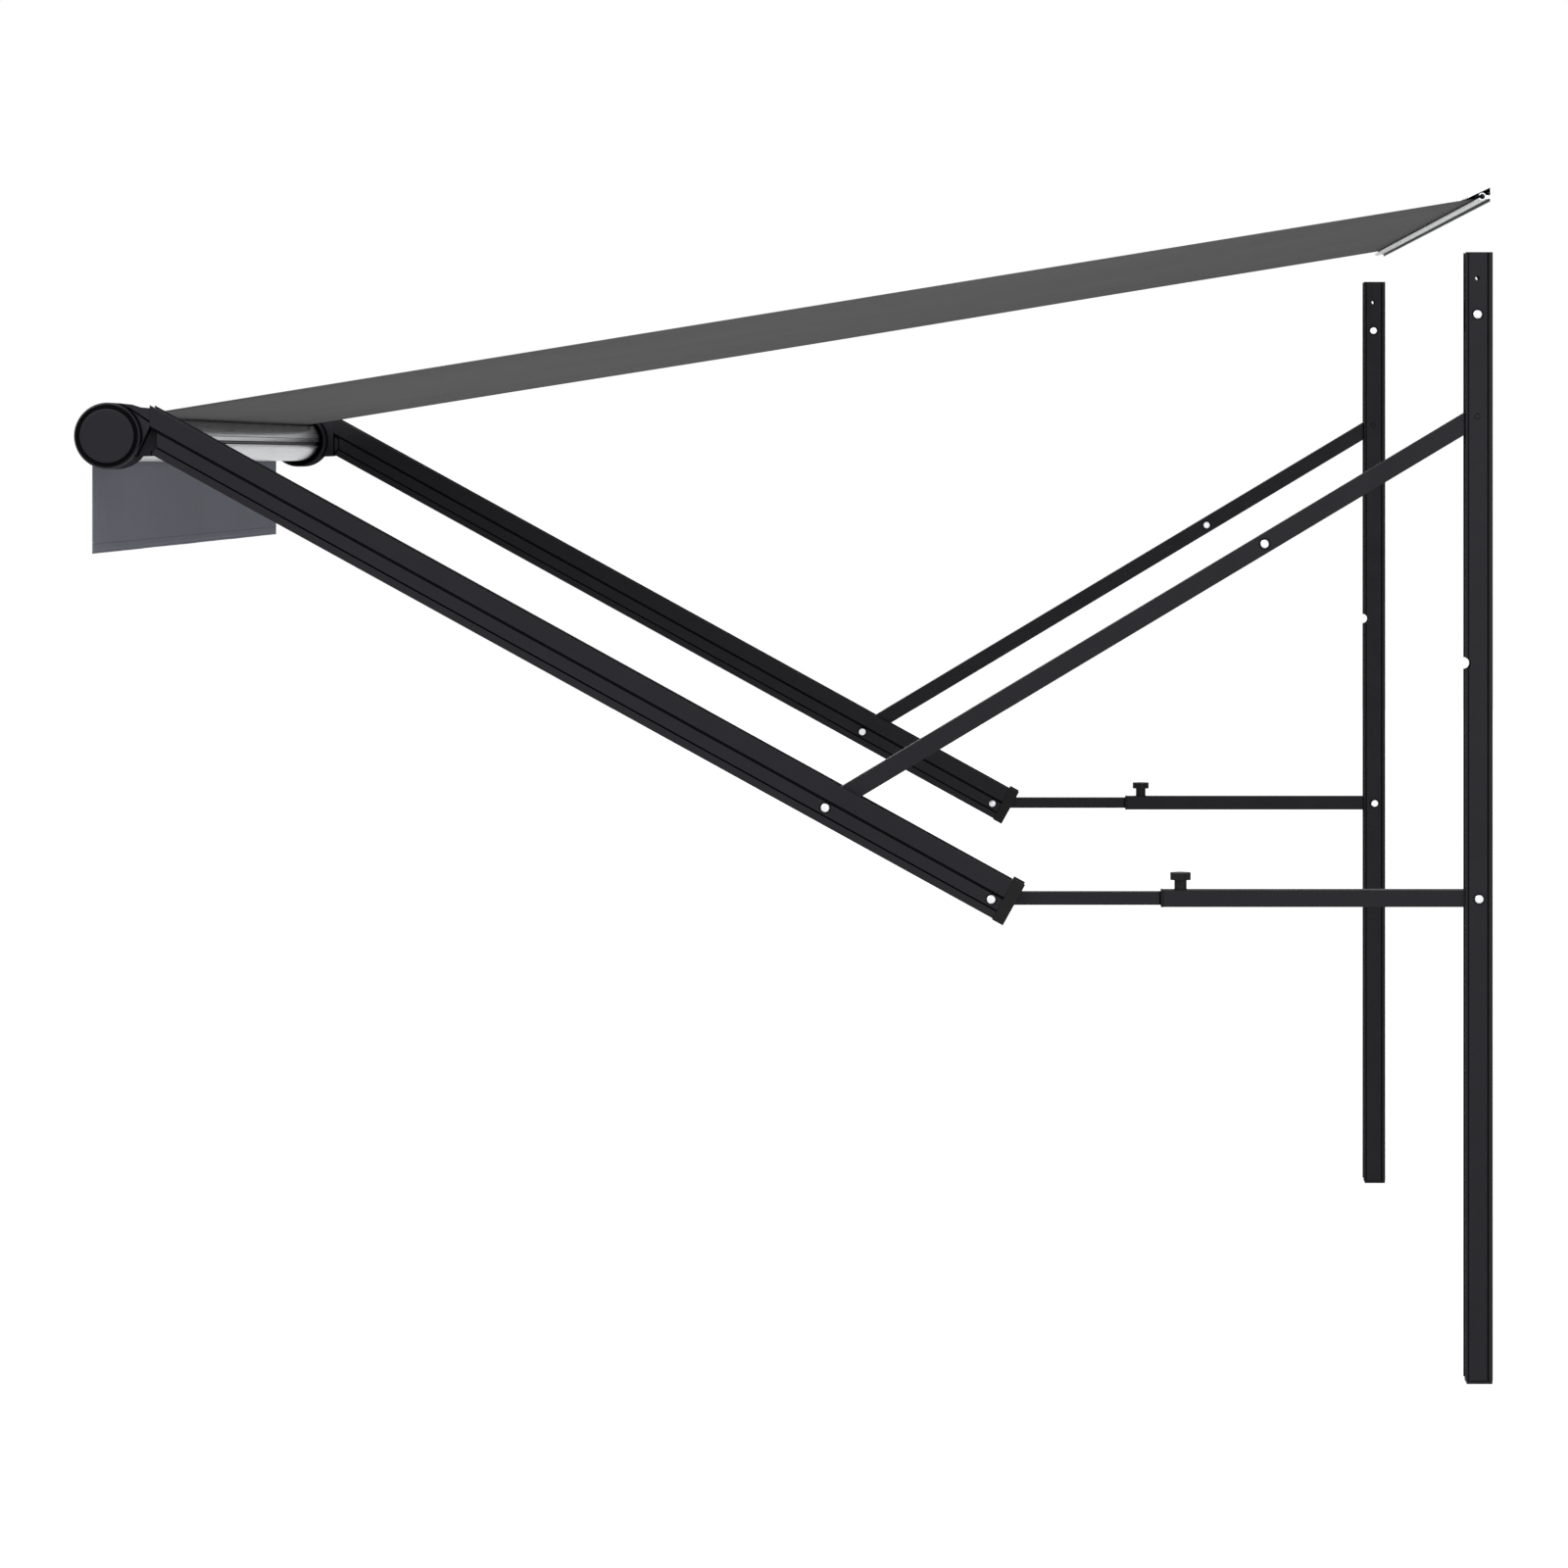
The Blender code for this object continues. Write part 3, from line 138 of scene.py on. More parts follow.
@dataclass(frozen=True)
class Finish:
    """A real material, with the shader that shows it.

    Args:
        name: Name of the real material.
        colour: sRGB hex code of its main colour.
        accent: sRGB hex code of the colour that it varies towards.
        metallic: Metallic value of the shader.
        roughness: Mean roughness.
        specular: Level of the shader's dielectric reflection.
    """

    name: str
    colour: str
    accent: str
    metallic: float
    roughness: float
    specular: float = 0.5

    def start(self) -> tuple[bpy.types.Material, bpy.types.NodeTree, bpy.types.Node]:
        """Make the material with its shader.

        Returns:
            The material, its node tree and its shader node.
        """
        material = bpy.data.materials.new(self.name)
        material.use_nodes = True
        tree = material.node_tree
        shader = tree.nodes["Principled BSDF"]
        shader.inputs["Metallic"].default_value = self.metallic
        shader.inputs["Roughness"].default_value = self.roughness
        shader.inputs["Specular IOR Level"].default_value = self.specular
        material.diffuse_color = srgb(self.colour)
        return material, tree, shader

    def tint(self, tree: bpy.types.NodeTree, shader: bpy.types.Node,
             factor: bpy.types.NodeSocket) -> None:
        """Vary the base colour between the finish's two colours.

        Args:
            tree: The tree that gets the nodes.
            shader: The shader that they drive.
            factor: Pattern from 0, the main colour, to 1, the accent.
        """
        ramp = add_node(tree, "ShaderNodeValToRGB", (-420, 320), {0: factor})
        ramp.color_ramp.elements[0].color = srgb(self.colour)
        ramp.color_ramp.elements[1].color = srgb(self.accent)
        tree.links.new(ramp.outputs["Color"], shader.inputs["Base Color"])

    def shade_recess(self, tree: bpy.types.NodeTree, shader: bpy.types.Node,
                     reach: float) -> None:
        """Paint shade into the base colour in narrow grooves and corners, where light hardly
        enters, and dim the reflection there.

        Args:
            tree: The tree that gets the nodes.
            shader: The shader whose base colour is already linked.
            reach: Width of the recesses that get painted shade, in metres.
        """
        colour = shader.inputs["Base Color"].links[0].from_socket
        shade = add_node(tree, "ShaderNodeAmbientOcclusion", (-640, 620), {"Distance": reach},
                         samples=8)
        deep = add_node(tree, "ShaderNodeMapRange", (-420, 620), {
            "Value": shade.outputs["AO"], "From Min": RECESS_SHADE_OPENNESS[0],
            "From Max": RECESS_SHADE_OPENNESS[1], "To Min": 0.0, "To Max": 1.0})
        mixed = add_node(tree, "ShaderNodeMix", (-160, 420), {
            0: deep.outputs["Result"], 6: srgb(RECESS_SHADE_COLOUR), 7: colour}, data_type="RGBA")
        tree.links.new(mixed.outputs[2], shader.inputs["Base Color"])
        level = add_node(tree, "ShaderNodeMath", (-160, 620), {
            0: deep.outputs["Result"], 1: self.specular}, operation="MULTIPLY")
        tree.links.new(level.outputs["Value"], shader.inputs["Specular IOR Level"])

    def vary_roughness(self, tree: bpy.types.NodeTree, shader: bpy.types.Node,
                       factor: bpy.types.NodeSocket, spread: float) -> None:
        """Vary the roughness about its mean.

        Args:
            tree: The tree that gets the nodes.
            shader: The shader that they drive.
            factor: Pattern whose values lie about one half.
            spread: How far the roughness goes either way.
        """
        span = add_node(tree, "ShaderNodeMapRange", (-420, 40), {
            "Value": factor, "From Min": 0.25, "From Max": 0.75,
            "To Min": self.roughness - spread, "To Max": self.roughness + spread})
        tree.links.new(span.outputs["Result"], shader.inputs["Roughness"])

    def relief(self, tree: bpy.types.NodeTree, shader: bpy.types.Node,
               height: bpy.types.NodeSocket, strength: float, edge_mm: float = 0.0) -> None:
        """Give the surface its fine relief, and round its edges.

        Args:
            tree: The tree that gets the nodes.
            shader: The shader that they drive.
            height: Pattern of the relief.
            strength: How strongly it shows.
            edge_mm: Radius of the rounded edges, or zero to leave them sharp.
        """
        values = {"Height": height, "Strength": strength, "Distance": BUMP_DEPTH}
        if edge_mm > 0.0:
            edge = add_node(tree, "ShaderNodeBevel", (-700, -460),
                            {"Radius": edge_mm / 1000.0}, samples=4)
            values["Normal"] = edge.outputs["Normal"]
        bump = add_node(tree, "ShaderNodeBump", (-420, -260), values)
        tree.links.new(bump.outputs["Normal"], shader.inputs["Normal"])


@dataclass(frozen=True)
class PowderCoat(Finish):
    """Satin powder coat on an aluminium extrusion, with its fine orange peel.

    Args:
        peel_mm: Size of the orange peel's bumps.
        cloud_mm: Size of the coat's faint uneven patches.
        wipe_mm: Width and length of the marks that handling leaves.
        edge_mm: Radius that the coat rounds an edge to.
        recess_mm: Width of the recesses that get painted shade.
    """

    peel_mm: float = 0.9
    cloud_mm: float = 110.0
    wipe_mm: tuple[float, float] = (4.2, 55.0)
    edge_mm: float = 0.7
    recess_mm: float = 5.0

    def build(self) -> bpy.types.Material:
        """Make the material.

        Returns:
            The material, ready for its pieces.
        """
        material, tree, shader = self.start()
        place = add_node(tree, "ShaderNodeTexCoord", (-1300, 0)).outputs["Object"]
        cloud = add_node(tree, "ShaderNodeTexNoise", (-1050, 300), {
            "Vector": place, "Scale": per_metre(self.cloud_mm), "Detail": 5.0,
            "Roughness": 0.6})
        self.tint(tree, shader, cloud.outputs["Fac"])
        # Painted shade: grooves and corners darkened where they are occluded.
        self.shade_recess(tree, shader, self.recess_mm / 1000.0)
        wide, long = (per_metre(size) for size in self.wipe_mm)
        streak_map = add_node(tree, "ShaderNodeMapping", (-1250, -250), {
            "Vector": place, "Scale": (wide, long, long)})
        handling = add_node(tree, "ShaderNodeTexNoise", (-1050, 0), {
            "Vector": streak_map.outputs["Vector"], "Scale": 1.0, "Detail": 6.0})
        self.vary_roughness(tree, shader, handling.outputs["Fac"], 0.07)
        peel = add_node(tree, "ShaderNodeTexNoise", (-1050, -300), {
            "Vector": place, "Scale": per_metre(self.peel_mm), "Detail": 2.0})
        self.relief(tree, shader, peel.outputs["Fac"], 0.12, self.edge_mm)
        return material


@dataclass(frozen=True)
class PlatedSteel(Finish):
    """Zinc-plated steel with its faint cloudy crystals.

    Args:
        crystal_mm: Size of the zinc's crystals.
        cloud_mm: Size of the duller patches.
        edge_mm: Radius of the rounded edges.
    """

    crystal_mm: float = 1.4
    cloud_mm: float = 5.5
    edge_mm: float = 0.4

    def build(self) -> bpy.types.Material:
        """Make the material.

        Returns:
            The material, ready for its pieces.
        """
        material, tree, shader = self.start()
        place = add_node(tree, "ShaderNodeTexCoord", (-1300, 0)).outputs["Object"]
        grain = add_node(tree, "ShaderNodeTexVoronoi", (-1050, 300), {
            "Vector": place, "Scale": per_metre(self.crystal_mm)})
        self.tint(tree, shader, grain.outputs["Distance"])
        cloud = add_node(tree, "ShaderNodeTexNoise", (-1050, 0), {
            "Vector": place, "Scale": per_metre(self.cloud_mm), "Detail": 4.0})
        self.vary_roughness(tree, shader, cloud.outputs["Fac"], 0.08)
        edge = add_node(tree, "ShaderNodeBevel", (-420, -260), {"Radius": self.edge_mm / 1000.0},
                        samples=4)
        tree.links.new(edge.outputs["Normal"], shader.inputs["Normal"])
        return material


@dataclass(frozen=True)
class MouldedNylon(Finish):
    """Glass-filled nylon with a fine spark-eroded mould texture.

    Args:
        texture_mm: Size of the mould texture's grain.
        flow_mm: Size of the flow marks from moulding.
        edge_mm: Radius of the rounded edges.
    """

    texture_mm: float = 0.5
    flow_mm: float = 16.0
    edge_mm: float = 0.6

    def build(self) -> bpy.types.Material:
        """Make the material.

        Returns:
            The material, ready for its pieces.
        """
        material, tree, shader = self.start()
        place = add_node(tree, "ShaderNodeTexCoord", (-1300, 0)).outputs["Object"]
        flow = add_node(tree, "ShaderNodeTexNoise", (-1050, 300), {
            "Vector": place, "Scale": per_metre(self.flow_mm), "Detail": 4.0,
            "Distortion": 0.6})
        self.tint(tree, shader, flow.outputs["Fac"])
        grain = add_node(tree, "ShaderNodeTexNoise", (-1050, -200), {
            "Vector": place, "Scale": per_metre(self.texture_mm), "Detail": 3.0})
        self.vary_roughness(tree, shader, grain.outputs["Fac"], 0.05)
        self.relief(tree, shader, grain.outputs["Fac"], 0.25, self.edge_mm)
        return material


@dataclass(frozen=True)
class ExtrudedAluminium(Finish):
    """Extruded aluminium with die lines that run along X.

    Args:
        line_mm: Mean spacing of the die lines.
        run_mm: Length over which a die line changes.
        cloud_mm: Size of the duller patches.
        coarse: How strongly the die lines show.
        recess_mm: Width of the grooves and corners that get painted shade.
    """

    line_mm: float = 1.2
    run_mm: float = 300.0
    cloud_mm: float = 200.0
    coarse: float = 0.15
    recess_mm: float = 6.0

    def build(self) -> bpy.types.Material:
        """Make the material.

        Returns:
            The material, ready for its pieces.
        """
        material, tree, shader = self.start()
        place = add_node(tree, "ShaderNodeTexCoord", (-1300, 0)).outputs["Object"]
        pulled = add_node(tree, "ShaderNodeMapping", (-1150, 100), {
            "Vector": place, "Scale": (self.line_mm / self.run_mm, 1.0, 1.0)})
        lines = add_node(tree, "ShaderNodeTexNoise", (-950, 100), {
            "Vector": pulled.outputs["Vector"], "Scale": per_metre(self.line_mm),
            "Detail": 3.0})
        cloud = add_node(tree, "ShaderNodeTexNoise", (-950, 380), {
            "Vector": place, "Scale": per_metre(self.cloud_mm), "Detail": 4.0})
        blend = add_node(tree, "ShaderNodeMath", (-700, 320), {
            0: lines.outputs["Fac"], 1: cloud.outputs["Fac"]}, operation="MULTIPLY")
        self.tint(tree, shader, blend.outputs["Value"])
        # Painted shade: grooves and corners darkened where they are occluded.
        self.shade_recess(tree, shader, self.recess_mm / 1000.0)
        self.vary_roughness(tree, shader, lines.outputs["Fac"], 0.06)
        self.relief(tree, shader, lines.outputs["Fac"], self.coarse)
        return material


@dataclass(frozen=True)
class AwningCloth(Finish):
    """Solution-dyed acrylic cloth in a plain weave, read from the piece's own UV map.

    Args:
        thread_mm: Pitch of the threads, drawn about twice as coarse as the real ones to show.
        slub_mm: Width and length of the thicker threads.
        fade_mm: Size of the patches that weather has faded.
        fade: How far the colour varies over the sheet.
    """

    thread_mm: float = 1.1
    slub_mm: tuple[float, float] = (2.4, 110.0)
    fade_mm: float = 450.0
    fade: float = 0.5

    def build(self) -> bpy.types.Material:
        """Make the material.

        Returns:
            The material, ready for its pieces.
        """
        material, tree, shader = self.start()
        flat = add_node(tree, "ShaderNodeUVMap", (-1700, 0), uv_map="flat_m").outputs["UV"]
        parts = add_node(tree, "ShaderNodeSeparateXYZ", (-1500, 0), {"Vector": flat})
        turn = math.tau * per_metre(self.thread_mm) / 2.0
        waves = []
        for row, axis in enumerate(("X", "Y")):
            angle = add_node(tree, "ShaderNodeMath", (-1320, -200 * row), {
                0: parts.outputs[axis], 1: turn}, operation="MULTIPLY")
            wave = add_node(tree, "ShaderNodeMath", (-1160, -200 * row), {
                0: angle.outputs["Value"]}, operation="SINE")
            waves.append(wave.outputs["Value"])
        weave = add_node(tree, "ShaderNodeMath", (-1000, -100), {0: waves[0], 1: waves[1]},
                         operation="MULTIPLY")
        height = add_node(tree, "ShaderNodeMapRange", (-840, -100), {
            "Value": weave.outputs["Value"], "From Min": -1.0, "From Max": 1.0})
        fade = add_node(tree, "ShaderNodeTexNoise", (-1160, 320), {
            "Vector": flat, "Scale": per_metre(self.fade_mm), "Detail": 5.0,
            "Roughness": 0.55})
        wide, long = (per_metre(size) for size in self.slub_mm)
        slub_map = add_node(tree, "ShaderNodeMapping", (-1320, 520), {
            "Vector": flat, "Scale": (wide, long, 1.0)})
        slub = add_node(tree, "ShaderNodeTexNoise", (-1160, 520), {
            "Vector": slub_map.outputs["Vector"], "Scale": 1.0, "Detail": 2.0})
        mixed = add_node(tree, "ShaderNodeMath", (-900, 400), {
            0: fade.outputs["Fac"], 1: slub.outputs["Fac"]}, operation="ADD")
        spread = add_node(tree, "ShaderNodeMapRange", (-740, 400), {
            "Value": mixed.outputs["Value"], "From Min": 1.0 - self.fade,
            "From Max": 1.0 + self.fade})
        self.tint(tree, shader, spread.outputs["Result"])
        self.vary_roughness(tree, shader, fade.outputs["Fac"], 0.04)
        self.relief(tree, shader, height.outputs["Result"], 0.35)
        return material


@dataclass
class FinishSet:
    """Every finish on the awning, made once and shared by its pieces."""

    coat: bpy.types.Material = field(init=False)
    casing: bpy.types.Material = field(init=False)
    zinc: bpy.types.Material = field(init=False)
    nylon: bpy.types.Material = field(init=False)
    roller: bpy.types.Material = field(init=False)
    rail: bpy.types.Material = field(init=False)
    canopy: bpy.types.Material = field(init=False)
    valance: bpy.types.Material = field(init=False)
    thread: bpy.types.Material = field(init=False)
    motor: bpy.types.Material = field(init=False)

    def __post_init__(self) -> None:
        """Build each material."""
        # The arms' and channels' coat: near black, with a soft low sheen.
        self.coat = PowderCoat("powder_coated_aluminium", "#161519", "#1c1b1f", metallic=0.0,
                               roughness=0.48, specular=0.12).build()
        # The head's casing is matt, so its round side stays dark where it is seen edge on.
        self.casing = PowderCoat("matt_coated_casing", "#252428", "#2a292d", metallic=0.0,
                                 roughness=0.8, specular=0.0).build()
        # Bolt and screw heads: bright, slightly clouded metal.
        self.zinc = PlatedSteel("zinc_plated_steel", "#d4d6d8", "#eceef0", metallic=0.75,
                                roughness=0.34).build()
        # Knobs, caps, plugs and keders: the darkest parts, with a fine grain; the same near-black
        # also fills the roller's spare slot as painted shade.
        self.nylon = MouldedNylon("moulded_nylon", "#09090a", "#101011", metallic=0.0,
                                  roughness=0.5, specular=0.15).build()
        # The bare tube mirrors its surroundings, broken up by lines along its length.
        self.roller = ExtrudedAluminium("extruded_aluminium_tube", "#9c9da0", "#b4b5b8",
                                        metallic=0.9, roughness=0.3, coarse=0.04).build()
        # The rail is paler and duller, with painted shade over a wider reach that darkens its
        # keder groove and corners.
        self.rail = ExtrudedAluminium("extruded_aluminium_rail", "#b9babc", "#d0d1d3",
                                      metallic=0.75, roughness=0.38, recess_mm=12.0).build()
        # Both cloths are flat and matt from every side.
        self.canopy = AwningCloth("solution_dyed_acrylic_canopy", "#5a5a5a", "#636363",
                                  metallic=0.0, roughness=0.95, specular=0.0).build()
        self.valance = AwningCloth("solution_dyed_acrylic_valance", "#6c6f76", "#777a82",
                                   metallic=0.0, roughness=0.95, specular=0.0).build()
        # The thread is darker than the cloths, so the seams show as fine lines.
        self.thread = MouldedNylon("bonded_polyester_thread", "#343436", "#424244",
                                   metallic=0.0, roughness=0.7, specular=0.3).build()
        # The motor's case, inside the tube, has a light paint.
        self.motor = PowderCoat("painted_motor_case", "#cfcfca", "#dadad6", metallic=0.0,
                                roughness=0.5).build()


def dress(node: str, material: bpy.types.Material) -> None:
    """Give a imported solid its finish.

    Args:
        node: Name of the solid's node.
        material: Its finish.
    """
    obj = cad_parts[node]
    obj.data.materials.clear()
    obj.data.materials.append(material)
    LOG.info("dressed %s with %s", node, material.name)


def piece_object(name: str, mesh: bpy.types.Mesh, material: bpy.types.Material | None
                 ) -> bpy.types.Object:
    """Put a finished mesh in the scene, with its place in the mesh.

    Args:
        name: Name of the piece.
        mesh: Its mesh, in the awning's frame.
        material: Its finish, or None when the mesh already has one.

    Returns:
        The new object, at the origin.
    """
    collection = bpy.data.collections.get(PIECES)
    if collection is None:
        collection = bpy.data.collections.new(PIECES)
        bpy.context.scene.collection.children.link(collection)
    mesh.name = name
    obj = bpy.data.objects.new(name, mesh)
    collection.objects.link(obj)
    if material is not None:
        mesh.materials.clear()
        mesh.materials.append(material)
    return obj


def frozen(obj: bpy.types.Object) -> bpy.types.Mesh:
    """Turn an object with its modifiers into a plain mesh, and remove the object.

    Args:
        obj: The object to evaluate.

    Returns:
        The plain mesh.
    """
    bpy.context.view_layer.update()
    graph = bpy.context.evaluated_depsgraph_get()
    mesh = bpy.data.meshes.new_from_object(obj.evaluated_get(graph))
    bpy.data.objects.remove(obj, do_unlink=True)
    return mesh


@dataclass
class PathRow:
    """Small parts set along paths by a geometry tree: stitches or screws.

    Args:
        name: Name of the finished piece.
        paths: The lines of points that the row follows.
        pitch: Distance between two of the parts, or None for one unturned part at each point.
        material: Their finish.
        shape: A template mesh of one part, with X along the path.
        roll: Angle that each part is turned about the path, in radians.
    """

    name: str
    paths: list[list[Vector]]
    pitch: float | None
    material: bpy.types.Material
    shape: bpy.types.Mesh
    roll: float = 0.0

    def along_paths(self, tree: bpy.types.NodeTree, entry: bpy.types.Node
                    ) -> tuple[bpy.types.NodeSocket, bpy.types.NodeSocket]:
        """Add the nodes that find evenly spaced points and the turn of the part at each.

        Args:
            tree: The tree that gets the nodes.
            entry: Its group input.

        Returns:
            The sockets of the points and of the rotations.
        """
        curve = add_node(tree, "GeometryNodeMeshToCurve", (-800, 0), {
            "Mesh": entry.outputs["Geometry"]})
        points = add_node(tree, "GeometryNodeCurveToPoints", (-600, 0), {
            "Curve": curve.outputs["Curve"], "Length": entry.outputs["Pitch"]}, mode="LENGTH")
        along = add_node(tree, "FunctionNodeAlignRotationToVector", (-420, -200), {
            "Vector": points.outputs["Tangent"]}, axis="X")
        roll = add_node(tree, "FunctionNodeAxisAngleToRotation", (-420, -400), {
            "Axis": (1.0, 0.0, 0.0), "Angle": entry.outputs["Roll"]})
        turned = add_node(tree, "FunctionNodeRotateRotation", (-240, -250), {
            "Rotation": along.outputs["Rotation"], "Rotate By": roll.outputs["Rotation"]},
            rotation_space="LOCAL")
        return points.outputs["Points"], turned.outputs["Rotation"]

    def tree(self) -> bpy.types.NodeTree:
        """Build the tree that sets the part along the paths.

        Returns:
            The geometry tree, with its sizes as named inputs.
        """
        tree = bpy.data.node_groups.new(self.name + "_row", "GeometryNodeTree")
        face = tree.interface
        face.new_socket("Geometry", in_out="INPUT", socket_type="NodeSocketGeometry")
        face.new_socket("Part", in_out="INPUT", socket_type="NodeSocketObject")
        face.new_socket("Pitch", in_out="INPUT", socket_type="NodeSocketFloat")
        face.new_socket("Roll", in_out="INPUT", socket_type="NodeSocketFloat")
        face.new_socket("Material", in_out="INPUT", socket_type="NodeSocketMaterial")
        face.new_socket("Geometry", in_out="OUTPUT", socket_type="NodeSocketGeometry")
        entry = add_node(tree, "NodeGroupInput", (-1000, 0))
        places: dict[str | int, object] = {"Points": entry.outputs["Geometry"]}
        if self.pitch is not None:
            points, rotation = self.along_paths(tree, entry)
            places = {"Points": points, "Rotation": rotation}
        part = add_node(tree, "GeometryNodeObjectInfo", (-420, 200), {
            "Object": entry.outputs["Part"]})
        spread = add_node(tree, "GeometryNodeInstanceOnPoints", (-60, 0), {
            "Instance": part.outputs["Geometry"], **places})
        solid = add_node(tree, "GeometryNodeRealizeInstances", (140, 0), {
            "Geometry": spread.outputs["Instances"]})
        finish = add_node(tree, "GeometryNodeSetMaterial", (320, 0), {
            "Geometry": solid.outputs["Geometry"], "Material": entry.outputs["Material"]})
        add_node(tree, "NodeGroupOutput", (500, 0), {"Geometry": finish.outputs["Geometry"]})
        return tree

    def build(self) -> bpy.types.Object:
        """Make the finished piece.

        Returns:
            A plain mesh object at the origin.
        """
        mesh = bpy.data.meshes.new(self.name + "_path")
        verts: list[tuple[float, float, float]] = []
        edges: list[tuple[int, int]] = []
        for path in self.paths:
            base = len(verts)
            verts += [tuple(point) for point in path]
            edges += [(base + i, base + i + 1) for i in range(len(path) - 1)]
        mesh.from_pydata(verts, edges, [])
        host = piece_object(self.name + "_host", mesh, None)
        part = piece_object(self.name + "_part", self.shape, None)
        tree = self.tree()
        modifier = host.modifiers.new("row", "NODES")
        modifier.node_group = tree
        inputs = {item.name: item.identifier for item in tree.interface.items_tree
                  if item.in_out == "INPUT"}
        modifier[inputs["Part"]] = part
        modifier[inputs["Pitch"]] = self.pitch or 0.0
        modifier[inputs["Roll"]] = self.roll
        modifier[inputs["Material"]] = self.material
        result = frozen(host)
        bpy.data.objects.remove(part, do_unlink=True)
        result.shade_smooth()
        LOG.info("made %s", self.name)
        return piece_object(self.name, result, None)


def turned_shape(name: str, profile: Sequence[tuple[float, float]], radius: float,
                 height: float, sides: int) -> bpy.types.Mesh:
    """A small closed shape turned about Z.

    Args:
        name: Name of the mesh.
        profile: Rings of the shape, as shares of its radius and of its height. A ring with
            no radius is one point.
        radius: Radius of the shape.
        height: Height of the shape.
        sides: How many points a ring has.

    Returns:
        A closed mesh.
    """
    shell = bmesh.new()
    rings = []
    for reach, level in profile:
        count = sides if reach > 0.0 else 1
        rings.append([shell.verts.new((radius * reach * math.cos(math.tau * i / sides),
                                       radius * reach * math.sin(math.tau * i / sides),
                                       height * level)) for i in range(count)])
    for before, after in zip(rings, rings[1:]):
        for i in range(sides):
            j = i + 1
            corners = (before[i % len(before)], before[j % len(before)],
                       after[j % len(after)], after[i % len(after)])
            unique = list(dict.fromkeys(corners))
            if len(unique) > 2:
                shell.faces.new(unique)
    for ring in (rings[0], rings[-1]):
        if len(ring) > 1:
            shell.faces.new(ring)
    bmesh.ops.recalc_face_normals(shell, faces=shell.faces)
    mesh = bpy.data.meshes.new(name)
    shell.to_mesh(mesh)
    shell.free()
    return mesh


def stitch_shape(length: float, radius: float) -> bpy.types.Mesh:
    """One stitch: a short thread that bulges in its middle.

    Args:
        length: Length of the stitch along X.
        radius: Radius of the thread.

    Returns:
        Its mesh, with the middle at the origin.
    """
    mesh = turned_shape("stitch", STITCH_PROFILE, radius, length, STITCH_SIDES)
    z_to_x = Matrix(((0, 0, 1, 0), (1, 0, 0, 0), (0, 1, 0, 0), (0, 0, 0, 1)))
    mesh.transform(z_to_x)
    return mesh


def pan_head_shape(radius: float, height: float) -> bpy.types.Mesh:
    """One pan-head screw seen from outside, its head towards +Z, with its socket.

    Args:
        radius: Radius of the head.
        height: Height of the head.

    Returns:
        Its mesh, with the head's foot at the origin.
    """
    return turned_shape("pan_head", SCREW_PROFILE, radius, height, SCREW_SIDES)


@dataclass(frozen=True)
class Seam:
    """Machine stitches, seen as short threads on the cloth.

    Args:
        pitch: Distance between two stitches.
        length: Length of one stitch.
        radius: Radius of the thread.
    """

    pitch: float = 0.0045
    length: float = 0.0034
    radius: float = 0.00028

    def sew(self, name: str, paths: list[list[Vector]], thread: bpy.types.Material
            ) -> bpy.types.Object:
        """Set the stitches along their lines.

        Args:
            name: Name of the piece.
            paths: The lines of points that the stitches follow.
            thread: Finish of the thread.

        Returns:
            All the stitches as one plain mesh object.
        """
        return PathRow(name, paths, self.pitch, thread,
                       stitch_shape(self.length, self.radius)).build()


@dataclass(frozen=True)
class Wave:
    """A small wave across a cloth, whose half width counts as one.

    Args:
        depth: Height of its crests.
        rate: How far it turns over the half width, in radians.
        phase: Its turn at the cloth's middle, in radians.
    """

    depth: float
    rate: float
    phase: float = 0.0

    def at(self, across: float, shift: float = 0.0) -> float:
        """Height of the wave at a place from -1 to 1, its phase moved on by shift."""
        return self.depth * math.sin(self.rate * across + self.phase + shift)


def even(low: float, high: float, steps: int) -> list[float]:
    """Evenly spaced values from low to high, one more than there are steps."""
    return [low + (high - low) * step / steps for step in range(steps + 1)]


def bell(share: float, zone: tuple[float, float]) -> float:
    """Weight of one at a zone's middle that dies away over its reach."""
    middle, reach = zone
    return math.exp(-((share - middle) / reach) ** 2)


def cloth_grid(rows: list[list[Vector]], flat: list[list[tuple[float, float]]],
               thickness: float) -> bpy.types.Mesh:
    """A sheet of cloth with two faces and closed edges.

    Args:
        rows: Grid of points on the sheet's middle surface.
        flat: The flat position in metres of each point, for the UV map.
        thickness: Thickness of the cloth.

    Returns:
        A closed mesh with a UV map named flat_m.
    """
    shell = bmesh.new()
    layer = shell.loops.layers.uv.new("flat_m")
    verts = [[shell.verts.new(point) for point in row] for row in rows]
    for i in range(len(rows) - 1):
        for j in range(len(rows[0]) - 1):
            corners = ((i, j), (i, j + 1), (i + 1, j + 1), (i + 1, j))
            made = shell.faces.new([verts[a][b] for a, b in corners])
            made.smooth = True
            for loop, (a, b) in zip(made.loops, corners):
                loop[layer].uv = flat[a][b]
    mesh = bpy.data.meshes.new("cloth")
    shell.to_mesh(mesh)
    shell.free()
    host = piece_object("cloth_host", mesh, None)
    solid = host.modifiers.new("thickness", "SOLIDIFY")
    solid.thickness = thickness
    solid.offset = 0.0
    return frozen(host)


